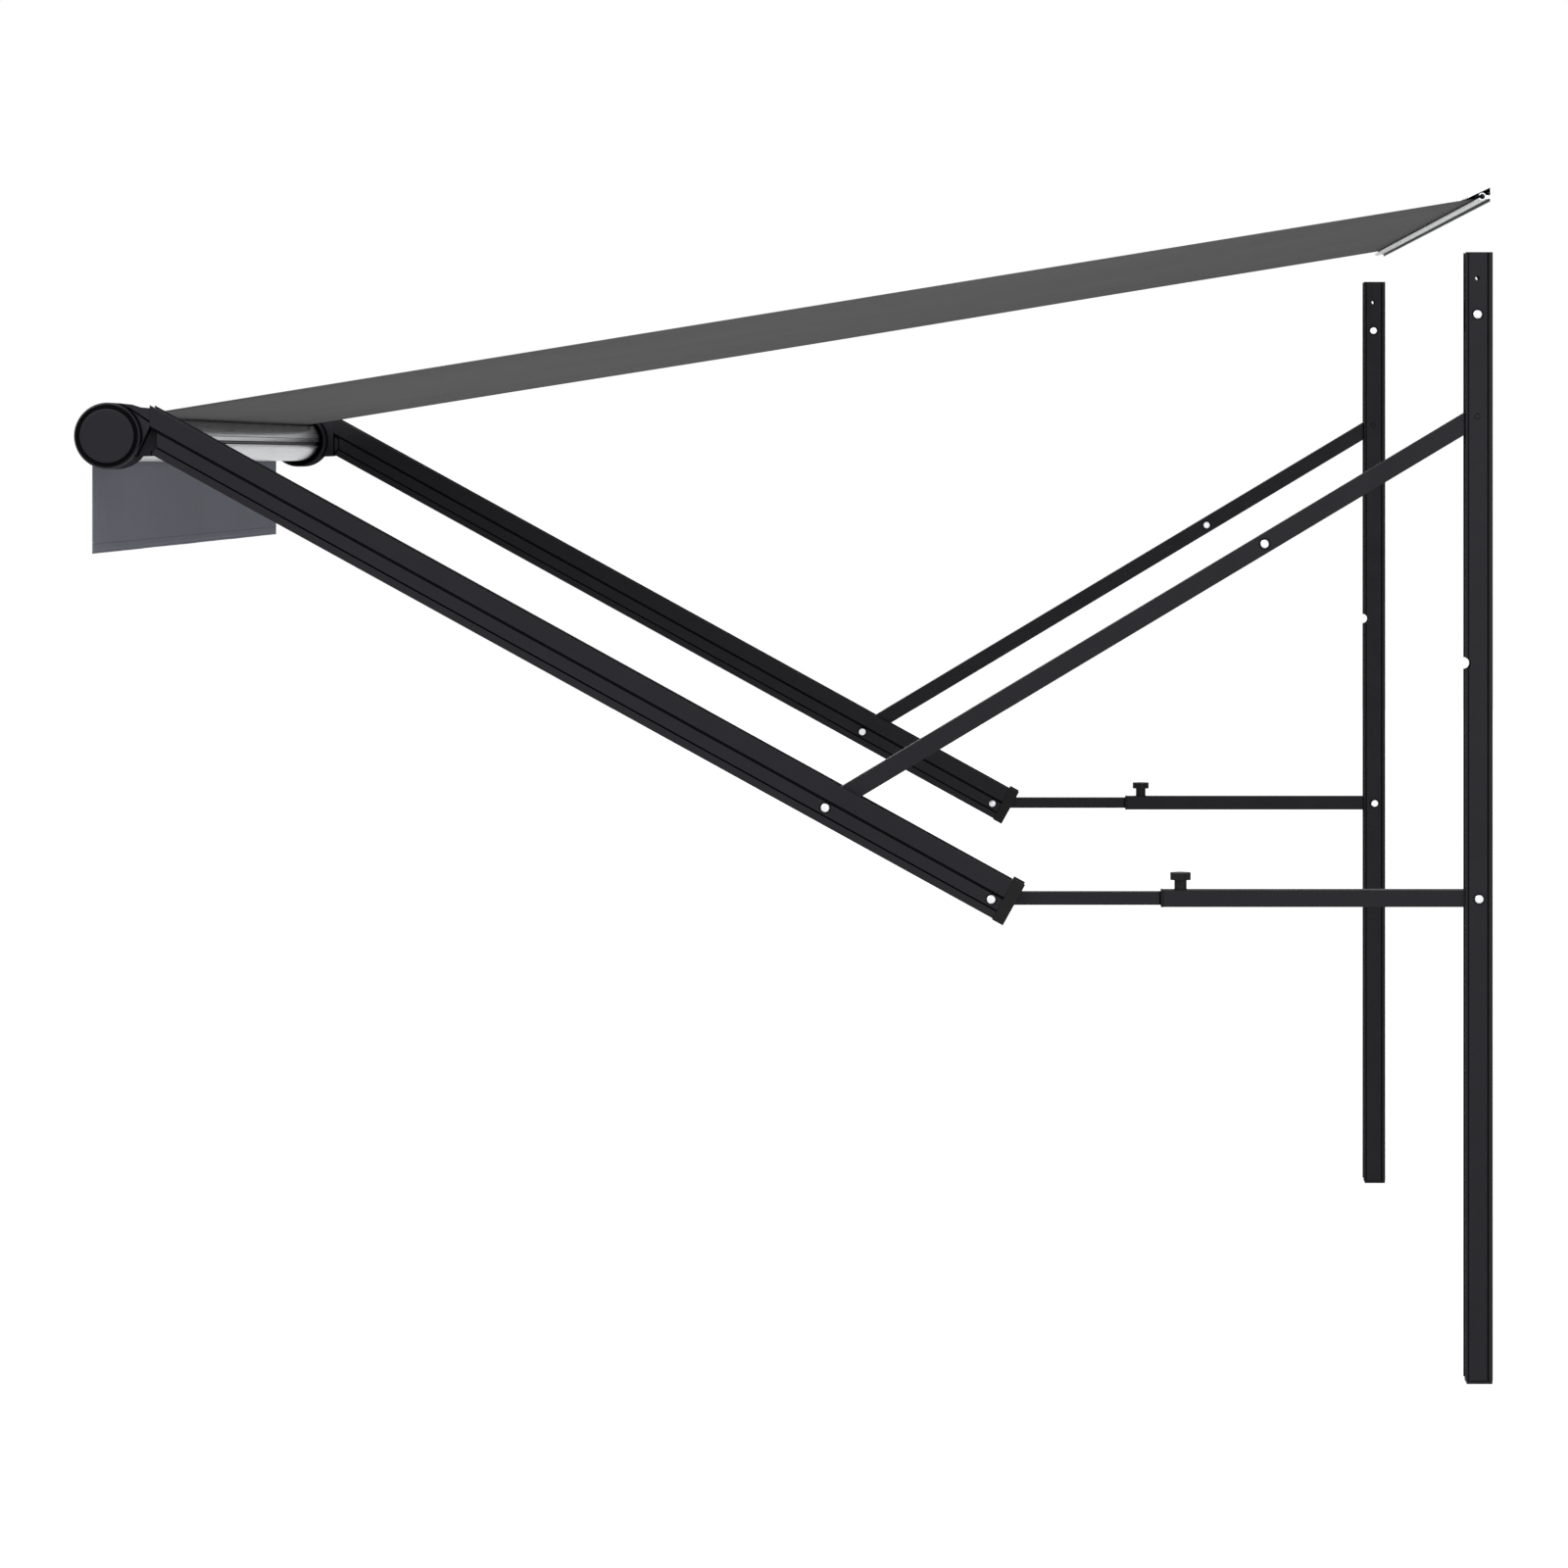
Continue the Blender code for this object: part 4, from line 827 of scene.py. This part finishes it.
@dataclass
class CanopySheet:
    """The stretched cloth from the wall rail to the roller, with its side hems.

    Places in the side view are given as (y, z).

    Args:
        finishes: The awning's finishes.
        half_width: Half of the cloth's width.
        thickness: Thickness of the cloth and of its hems.
        hem: Width of each side hem.
        hem_lift: How far a hem's middle lies above the sheet's.
        sag: Depth of the belly at the middle of the sheet.
        mouth: Where the sheet leaves the rail.
        roller: The roller's axis.
        radius: Radius of the roller tube.
        slot: Angle in degrees of the roller's slot that holds the sheet.
        lip_gap: How far above the tube's face the sheet bends into the slot.
        bend: Distance from that point to the first one in the slot.
        tuck: How deep the sheet goes into the slot.
        columns: Faces across the sheet.
        rows: Faces between the rail and the slot.
        hem_columns: Faces across a hem.
        roller_wave: Wave of the cloth by the roller.
        roller_zone: Middle and reach of that wave, as shares of the length.
        rail_wave: Wave of the cloth by the rail.
        rail_zone: Middle and reach of that wave, as shares of the length.
        slack_wave: Wave of the whole sheet.
        slack_turn: How far that wave turns from the rail to the roller, in radians.
        sag_power: How suddenly the sag ends at the side edges.
        wave_power: How suddenly the two waves end there.
        rise: How steeply the cloth leaves its taut plane at the rail and the roller.
        seam: The stitches of the hems.
        seam_insets: Distances of a hem's two seams from its two edges, the outer one first.
        seam_lifts: How far the threads lie off the sheet, below it and above it.
        fold_line: Direction along which the sheet would be squeezed as the awning folds; not
            used.
        fold_keep: Share of its length that would be left when the awning is folded; not used.
    """

    finishes: FinishSet
    half_width: float = CLOTH_HALF_WIDTH
    thickness: float = CLOTH_THICKNESS
    hem: float = 0.022
    hem_lift: float = 0.0008
    sag: float = 0.009
    mouth: tuple[float, float] = (-0.0213, -0.0054)
    roller: tuple[float, float] = ROLLER_AXIS
    radius: float = 0.046
    slot: float = 50.0
    lip_gap: float = 0.0006
    bend: float = 0.0008
    tuck: float = 0.0015
    columns: int = 56
    rows: int = 76
    hem_columns: int = 3
    roller_wave: Wave = Wave(0.0011, 31.0)
    roller_zone: tuple[float, float] = (0.93, 0.06)
    rail_wave: Wave = Wave(0.0009, 23.0, 0.7)
    rail_zone: tuple[float, float] = (0.05, 0.05)
    slack_wave: Wave = Wave(0.0010, 9.0)
    slack_turn: float = 4.0
    sag_power: int = 8
    wave_power: int = 6
    rise: float = 12.0
    seam: Seam = Seam()
    seam_insets: tuple[float, float] = (0.004, 0.003)
    seam_lifts: tuple[float, float] = (-0.0003, 0.0013)
    fold_line: tuple[float, float, float] = (0.0, 0.99890, 0.04679)
    fold_keep: float = 0.0649

    @property
    def into_slot(self) -> Vector:
        """Direction from the roller's axis to its slot."""
        angle = math.radians(self.slot)
        return Vector((math.cos(angle), math.sin(angle)))

    @property
    def lip(self) -> Vector:
        """Where the sheet bends into the roller's slot."""
        return Vector(self.roller) + (self.radius + self.lip_gap) * self.into_slot

    @property
    def straight(self) -> float:
        """Length of the sheet between the rail and the slot."""
        return (self.lip - Vector(self.mouth)).length

    def line(self) -> list[tuple[Vector, Vector, float]]:
        """Follow the sheet's middle from the rail to its end on the roller.

        Returns:
            Points, their upward normals and their distances from the rail.
        """
        mouth, lip, out, straight = Vector(self.mouth), self.lip, self.into_slot, self.straight
        along = (lip - mouth) / straight
        normal = Vector((along.y, -along.x))
        made = [(mouth.lerp(lip, share), normal, straight * share)
                for share in even(0.0, 1.0, self.rows)]
        turned = Vector((-out.y, out.x))
        for depth in (self.bend, self.lip_gap + self.tuck):
            made.append((lip - depth * out, turned, straight + depth))
        return made

    def belly(self, across: float, along: float) -> float:
        """Depth of the sheet below its taut plane.

        Args:
            across: Place across the width, from -1 to 1.
            along: Distance from the rail, in metres.

        Returns:
            A distance in metres, zero at the rail, at the roller and at both side edges.
        """
        share = min(max(along / self.straight, 0.0), 1.0)
        ends = math.sin(math.pi * share)
        slack = ends * self.slack_wave.at(across, self.slack_turn * share)
        waves = (bell(share, self.roller_zone) * self.roller_wave.at(across)
                 + bell(share, self.rail_zone) * self.rail_wave.at(across))
        depth = ((self.sag * ends + slack) * (1.0 - across ** self.sag_power)
                 + waves * (1.0 - across ** self.wave_power))
        return depth * min(1.0, ends * self.rise)

    def surface(self, across: float, spot: tuple[Vector, Vector, float],
                lift: float = 0.0) -> Vector:
        """Place of one point of the sheet.

        Args:
            across: Place across the width, from -1 to 1.
            spot: Point of the middle line, with its normal and its distance.
            lift: How far the point is moved off the sheet, upwards.

        Returns:
            The point in the awning's frame.
        """
        place, normal, along = spot
        moved = place + normal * (lift - self.belly(across, along))
        return Vector((across * self.half_width, moved.x, moved.y))

    def strip(self, line: list[tuple[Vector, Vector, float]], low: float, high: float,
              steps: int, lift: float) -> bpy.types.Mesh:
        """A strip of cloth that lies along the sheet.

        Args:
            line: The sheet's middle line.
            low: Where the strip starts across the width, from -1 to 1.
            high: Where it ends.
            steps: How many faces it has across.
            lift: How far it stands off the sheet.

        Returns:
            The strip's mesh.
        """
        places = even(low, high, steps)
        rows = [[self.surface(across, spot, lift) for across in places] for spot in line]
        flat = [[(across * self.half_width, spot[2]) for across in places] for spot in line]
        return cloth_grid(rows, flat, self.thickness)

    def hems(self, line: list[tuple[Vector, Vector, float]]) -> list[bpy.types.Object]:
        """Make the side hems, which lie on the sheet.

        Args:
            line: The sheet's middle line.

        Returns:
            The right and the left hem.
        """
        share = self.hem / self.half_width
        made = []
        for side in Side:
            low, high = sorted((side.value * (1.0 - share), side.value * 1.0))
            mesh = self.strip(line, low, high, self.hem_columns, self.hem_lift)
            made.append(piece_object(f"canopy_hem_{side.tag}", mesh, self.finishes.canopy))
        return made

    def stitches(self, line: list[tuple[Vector, Vector, float]]) -> list[bpy.types.Object]:
        """Sew the hems on, from just past the rail's mouth to just before the slot.

        Args:
            line: The sheet's middle line.

        Returns:
            The stitches of the right and of the left hem.
        """
        outer, inner = self.seam_insets
        made = []
        for side in Side:
            paths = []
            for inset in (outer, self.hem - inner):
                across = side.value * (1.0 - inset / self.half_width)
                for lift in self.seam_lifts:
                    paths.append([self.surface(across, spot, lift) for spot in line[1:-2]])
            made.append(self.seam.sew(f"canopy_stitches_{side.tag}", paths,
                                      self.finishes.thread))
        return made

    def build(self) -> None:
        """Make the sheet, its hems and its stitches, and tie them to the frame."""
        line = self.line()
        sheet = piece_object("canopy_cloth", self.strip(line, -1.0, 1.0, self.columns, 0.0),
                             self.finishes.canopy)
        hems = self.hems(line)
        stitches = self.stitches(line)
        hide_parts("canopy")
        for piece in (sheet, *hems, *stitches):
            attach(piece, "wall_frame")
            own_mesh(piece)


@dataclass
class ValanceSheet:
    """The hanging front strip of cloth, with its hems and stitches.

    Args:
        finishes: The awning's finishes.
        half_width: Half of the strip's width.
        thickness: Thickness of the cloth and of its hems.
        drop: How far it hangs below the roller's axis.
        head: How far it starts above the axis.
        roller: The roller's axis, as (y, z).
        stand: Distance of the cloth in front of the axis.
        hem: Height of the lower hem and width of the side hems.
        hem_lift: How far a hem's middle stands before the cloth's.
        hem_columns: Faces across a hem.
        hem_top: Share of the drop at which the side hems start.
        hem_gap: Share of the drop that they leave above the lower hem.
        columns: Faces across the strip.
        rows: Faces down the strip.
        waves: The cloth's waves, which grow towards its foot.
        wave_growth: Power by which they grow.
        edge_power: How suddenly they end at the side edges.
        seam: The stitches of the hems.
        seam_inset: Distance of a seam from its hem's edge.
        seam_lifts: How far the threads lie off the cloth, behind it and before it.
        seam_reach: Where the lower hem's seams end across the width.
        seam_top: Share of the drop at which the side hems' seams start.
        seam_gap: Share of the drop that they leave above the lower hem.
        seam_steps: Steps of the side hems' seams.
    """

    finishes: FinishSet
    half_width: float = CLOTH_HALF_WIDTH
    thickness: float = CLOTH_THICKNESS
    drop: float = 0.2105
    head: float = 0.0035
    roller: tuple[float, float] = ROLLER_AXIS
    stand: float = 0.0469
    hem: float = 0.020
    hem_lift: float = 0.0010
    hem_columns: int = 3
    hem_top: float = 0.02
    hem_gap: float = 0.004
    columns: int = 160
    rows: int = 22
    waves: tuple[Wave, ...] = (Wave(0.0016, 10.5, 0.6), Wave(0.0009, 24.0),
                               Wave(0.0004, 57.0, 1.3))
    wave_growth: float = 1.4
    edge_power: int = 8
    seam: Seam = Seam()
    seam_inset: float = 0.003
    seam_lifts: tuple[float, float] = (-0.00045, 0.0016)
    seam_reach: float = 0.998
    seam_top: float = 0.03
    seam_gap: float = 0.02
    seam_steps: int = 20

    @property
    def tall(self) -> float:
        """Height of the flat cloth."""
        return self.drop + self.head

    @property
    def foot(self) -> float:
        """Share of the drop at which the lower hem starts."""
        return 1.0 - self.hem / self.tall

    def surface(self, across: float, share: float, lift: float) -> Vector:
        """Place of one point of the hanging cloth, with its waves.

        Args:
            across: Place across the width, from -1 to 1.
            share: Place from the head of the strip, 0, to its foot, 1.
            lift: How far the point is moved off the cloth, forwards.

        Returns:
            The point in the awning's frame.
        """
        soft = share ** self.wave_growth * (1.0 - across ** self.edge_power)
        ripple = soft * sum(wave.at(across) for wave in self.waves)
        return Vector((across * self.half_width, self.roller[0] - self.stand - lift + ripple,
                       self.roller[1] + self.head - share * self.tall))

    def strip(self, down: list[float], across: list[float], lift: float) -> bpy.types.Mesh:
        """A rectangle of the hanging cloth.

        Args:
            down: Shares of the drop of its rows.
            across: Places of its columns across the width, from -1 to 1.
            lift: How far it stands off the cloth, forwards.

        Returns:
            The mesh.
        """
        rows = [[self.surface(place, share, lift) for place in across] for share in down]
        flat = [[(place * self.half_width, share * self.tall) for place in across]
                for share in down]
        return cloth_grid(rows, flat, self.thickness)

    def hems(self) -> list[bpy.types.Object]:
        """Make the lower hem and the two side hems.

        Returns:
            The lower, the right and the left hem.
        """
        cloth = self.finishes.valance
        mesh = self.strip(even(self.foot, 1.0, self.hem_columns), even(-1.0, 1.0, self.columns),
                          self.hem_lift)
        made = [piece_object("valance_foot_hem", mesh, cloth)]
        share = self.hem / self.half_width
        for side in Side:
            left, right = sorted((side.value * (1.0 - share), side.value * 1.0))
            mesh = self.strip(even(self.hem_top, self.foot - self.hem_gap, self.rows),
                              even(left, right, self.hem_columns), self.hem_lift)
            made.append(piece_object(f"valance_hem_{side.tag}", mesh, cloth))
        return made

    def stitches(self) -> bpy.types.Object:
        """Sew the hems on.

        Returns:
            All the stitches of the valance.
        """
        paths = []
        for inset in (self.seam_inset, self.hem - self.seam_inset):
            level = 1.0 - inset / self.tall
            for lift in self.seam_lifts:
                paths.append([self.surface(across, level, lift)
                              for across in even(-self.seam_reach, self.seam_reach,
                                                 self.columns)])
        for side in Side:
            across = side.value * (1.0 - (self.hem - self.seam_inset) / self.half_width)
            for lift in self.seam_lifts:
                paths.append([self.surface(across, share, lift)
                              for share in even(self.seam_top, self.foot - self.seam_gap,
                                                self.seam_steps)])
        return self.seam.sew("valance_stitches", paths, self.finishes.thread)

    def build(self) -> None:
        """Make the strip, its hems and its stitches, and tie them to their body."""
        mesh = self.strip(even(0.0, 1.0, self.rows), even(-1.0, 1.0, self.columns), 0.0)
        sheet = piece_object("valance_cloth", mesh, self.finishes.valance)
        hems = self.hems()
        stitches = self.stitches()
        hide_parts("valance")
        for piece in (sheet, *hems, stitches):
            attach(piece, "valance_cloth")
        LOG.info("made the valance, %.3f by %.3f m flat", 2 * self.half_width, self.tall)


@dataclass
class ArmSet:
    """One side's wall channel, folding arms, head and fasteners.

    Args:
        finishes: The awning's finishes.
        side: Which of the two arm sets it is.
        spacing: Distance between the middles of the two arm sets.
        screw_radius: Radius of a wall screw's head.
        screw_height: Height of a wall screw's head.
        screw_back: Face of the channel's back that the heads stand on.
        screw_levels: Heights of the wall screws.
    """

    finishes: FinishSet
    side: Side
    spacing: float = 2.440
    screw_radius: float = 0.0052
    screw_height: float = 0.0034
    screw_back: float = -0.0031
    screw_levels: tuple[float, ...] = (-0.30, -0.62, -0.98, -1.36, -1.70, -2.00)

    def dress(self) -> None:
        """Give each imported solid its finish."""
        look = self.finishes
        plan = {
            look.coat: ("wall_channel", "channel_foot", "upper_pivot_pin", "support_arm",
                        "main_arm", "head_cover", "pitch_tube", "pitch_rod"),
            look.casing: ("head_housing",),
            look.zinc: ("top_bolt", "lower_pivot_bolt", "stop_bolt", "elbow_bolt",
                        "pitch_bolt_out", "pitch_bolt_in"),
            look.nylon: ("elbow_spacer_out", "elbow_spacer_in", "arm_end_cap", "tube_collar",
                         "rod_plug", "pitch_knob"),
            look.rail: ("top_bracket",),
        }
        for material, names in plan.items():
            for name in names:
                dress(f"{self.side.tag}_{name}", material)

    def wall_screws(self) -> None:
        """Screws through the back of the channel, their heads towards the open front."""
        x = self.side.value * self.spacing / 2.0
        shape = pan_head_shape(self.screw_radius, self.screw_height)
        shape.transform(Matrix.Rotation(math.radians(90), 4, "X"))
        spots = [Vector((x, self.screw_back, level)) for level in self.screw_levels]
        screws = PathRow(f"{self.side.tag}_wall_screws", [spots], None, self.finishes.zinc,
                         shape)
        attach(screws.build(), "wall_frame")

    def build(self) -> None:
        """Dress the arm set and add its small parts."""
        self.dress()
        self.wall_screws()
        LOG.info("made the %s arm set", self.side.tag)


@dataclass
class RollerUnit:
    """The roller tube with its motor and plugs.

    Args:
        finishes: The awning's finishes.
    """

    finishes: FinishSet

    def build(self) -> None:
        """Dress the roller's solids."""
        look = self.finishes
        dress("roller_tube", look.roller)
        dress("tube_motor", look.motor)
        dress("idler_pin", look.zinc)
        # The slot filler is a near-black strip in the roller's spare slot: painted shade,
        # standing for the shadow inside the slot.
        for name in ("motor_crown", "drive_wheel", "idler_plug", "canopy_keder",
                     "valance_keder", "slot_filler"):
            dress(name, look.nylon)


@dataclass
class WallRail:
    """The awning rail with its row of screws.

    Args:
        finishes: The awning's finishes.
        half: Half of the rail's length.
        inset: Distance from the rail's end to its first screw.
        pitch: Distance between two screws.
        flange: Place of the screw row on the rail's flange, as (y, z).
        screw_radius: Radius of a screw's head.
        screw_height: Height of a screw's head.
    """

    finishes: FinishSet
    half: float = 1.220
    inset: float = 0.030
    pitch: float = 0.152
    flange: tuple[float, float] = (-0.0026, 0.0030)
    screw_radius: float = 0.0034
    screw_height: float = 0.0020

    def screws(self) -> None:
        """Set the row of screws along the rail's flange."""
        span = self.half - self.inset
        path = [Vector((-span, *self.flange)), Vector((span, *self.flange))]
        row = PathRow("rail_screws", [path], self.pitch, self.finishes.zinc,
                      pan_head_shape(self.screw_radius, self.screw_height), math.radians(90))
        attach(row.build(), "wall_frame")

    def build(self) -> None:
        """Dress the rail and set its screws."""
        dress("awning_rail", self.finishes.rail)
        dress("rail_keder", self.finishes.nylon)
        self.screws()


@dataclass(frozen=True)
class Lamp:
    """A square area lamp.

    Args:
        name: Name of the lamp.
        energy: Its power, in watts.
        size: Side of the square.
        spot: Place of the lamp.
        aim: The point that it faces.
    """

    name: str
    energy: float
    size: float
    spot: tuple[float, float, float]
    aim: tuple[float, float, float]

    def build(self) -> None:
        """Hang the lamp in the scene."""
        data = bpy.data.lights.new(self.name, "AREA")
        data.energy = self.energy
        data.size = self.size
        lamp = bpy.data.objects.new(self.name, data)
        lamp.location = self.spot
        direction = Vector(self.aim) - Vector(self.spot)
        lamp.rotation_euler = direction.to_track_quat("-Z", "Y").to_euler()
        bpy.context.scene.collection.objects.link(lamp)


@dataclass
class Studio:
    """Plain floor, soft light, white surroundings and the camera.

    Args:
        camera_spot: Place of the camera.
        lens: Focal length of the camera, in millimetres.
        sensor: Width of its picture, in millimetres.
        shift: Shift of the picture.
        sight: How far the camera sees.
        sky: Strength of the surrounding light.
        floor_level: Height of the floor, below the held-up awning.
        floor_half: Half of the floor's side.
        floor_glow: How far the floor near the awning shows plain white, from 0 to 1.
        glow_zone: Distances between which that share grows to 1.
        glow_strength: Strength of the white that the floor shows.
        lamps: A broad key from the front above, a fill from the camera's side and a weak
            lamp from the far side.
    """

    camera_spot: tuple[float, float, float] = (10.057, -0.877, -0.467)
    lens: float = 114.5
    sensor: float = 36.0
    shift: tuple[float, float] = (-0.1356, -0.2085)
    sight: float = 200.0
    sky: float = 0.62
    floor_level: float = -3.0
    floor_half: float = 40.0
    floor_glow: float = 0.6
    glow_zone: tuple[float, float] = (4.0, 13.0)
    glow_strength: float = 1.2
    lamps: tuple[Lamp, ...] = (
        Lamp("key", 420.0, 5.0, (4.0, -5.5, 3.6), (0.0, -1.2, -0.9)),
        Lamp("fill", 160.0, 5.0, (6.5, 2.2, 0.6), (0.0, -1.0, -0.9)),
        Lamp("back", 110.0, 4.0, (-5.0, -4.0, 2.0), (0.0, -1.2, -0.8)))

    def white_rays(self, tree: bpy.types.NodeTree) -> bpy.types.NodeSocket:
        """Tell camera, glossy and transmission rays from all others.

        Args:
            tree: The tree that gets the nodes.

        Returns:
            A socket that is one for those rays.
        """
        rays = add_node(tree, "ShaderNodeLightPath", (-900, 200))
        first = add_node(tree, "ShaderNodeMath", (-700, 200), {
            0: rays.outputs["Is Camera Ray"], 1: rays.outputs["Is Glossy Ray"]},
            operation="MAXIMUM")
        second = add_node(tree, "ShaderNodeMath", (-520, 200), {
            0: first.outputs["Value"], 1: rays.outputs["Is Transmission Ray"]},
            operation="MAXIMUM")
        return second.outputs["Value"]

    def world(self) -> None:
        """White surroundings that light the awning evenly."""
        world = bpy.data.worlds.new("studio_world")
        bpy.context.scene.world = world
        world.use_nodes = True
        tree = world.node_tree
        tree.nodes.clear()
        seen = self.white_rays(tree)
        white = add_node(tree, "ShaderNodeBackground", (-300, 100), {
            "Color": WHITE, "Strength": 1.0})
        soft = add_node(tree, "ShaderNodeBackground", (-300, -100), {
            "Color": WHITE, "Strength": self.sky})
        mixed = add_node(tree, "ShaderNodeMixShader", (-80, 0), {
            0: seen, 1: soft.outputs["Background"], 2: white.outputs["Background"]})
        add_node(tree, "ShaderNodeOutputWorld", (120, 0), {"Surface": mixed.outputs["Shader"]})

    def floor(self) -> None:
        """A pale floor that shows white and keeps the awning's shadow."""
        mesh = bpy.data.meshes.new("studio_floor")
        corners = [(x * self.floor_half, y * self.floor_half, self.floor_level)
                   for x, y in ((-1, -1), (1, -1), (1, 1), (-1, 1))]
        mesh.from_pydata(corners, [], [(0, 1, 2, 3)])
        floor = bpy.data.objects.new("studio_floor", mesh)
        bpy.context.scene.collection.objects.link(floor)
        material = bpy.data.materials.new("pale_floor")
        material.use_nodes = True
        tree = material.node_tree
        shader = tree.nodes["Principled BSDF"]
        shader.inputs["Base Color"].default_value = srgb("#f4f4f4")
        shader.inputs["Roughness"].default_value = 0.9
        place = add_node(tree, "ShaderNodeTexCoord", (-1300, -200)).outputs["Object"]
        reach = add_node(tree, "ShaderNodeVectorMath", (-1100, -200), {0: place},
                         operation="LENGTH")
        share = add_node(tree, "ShaderNodeMapRange", (-900, -200), {
            "Value": reach.outputs["Value"], "From Min": self.glow_zone[0],
            "From Max": self.glow_zone[1], "To Min": self.floor_glow, "To Max": 1.0})
        seen = add_node(tree, "ShaderNodeMath", (-320, -200), {
            0: self.white_rays(tree), 1: share.outputs["Result"]}, operation="MULTIPLY")
        glow = add_node(tree, "ShaderNodeEmission", (-120, -300), {
            "Color": WHITE, "Strength": self.glow_strength})
        mixed = add_node(tree, "ShaderNodeMixShader", (320, 0), {
            0: seen.outputs["Value"], 1: shader.outputs["BSDF"], 2: glow.outputs["Emission"]})
        tree.links.new(mixed.outputs["Shader"], tree.nodes["Material Output"].inputs["Surface"])
        mesh.materials.append(material)

    def camera(self) -> None:
        """The camera, square to the awning's right-hand end."""
        data = bpy.data.cameras.new("side_camera")
        data.lens = self.lens
        data.sensor_width = self.sensor
        data.shift_x, data.shift_y = self.shift
        data.clip_end = self.sight
        camera = bpy.data.objects.new("side_camera", data)
        camera.location = self.camera_spot
        camera.rotation_euler = (math.radians(90), 0.0, math.radians(90))
        bpy.context.scene.collection.objects.link(camera)
        bpy.context.scene.camera = camera

    def build(self) -> None:
        """Set the whole studio up."""
        self.camera()
        self.world()
        self.floor()
        for lamp in self.lamps:
            lamp.build()
        bpy.context.scene.view_settings.view_transform = "Standard"


def main() -> None:
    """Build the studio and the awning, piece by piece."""
    logging.basicConfig(level=logging.INFO, format="%(name)s: %(message)s")
    Studio().build()
    finishes = FinishSet()
    for side in Side:
        ArmSet(finishes, side).build()
    RollerUnit(finishes).build()
    WallRail(finishes).build()
    CanopySheet(finishes).build()
    ValanceSheet(finishes).build()


if __name__ == "__main__":
    main()
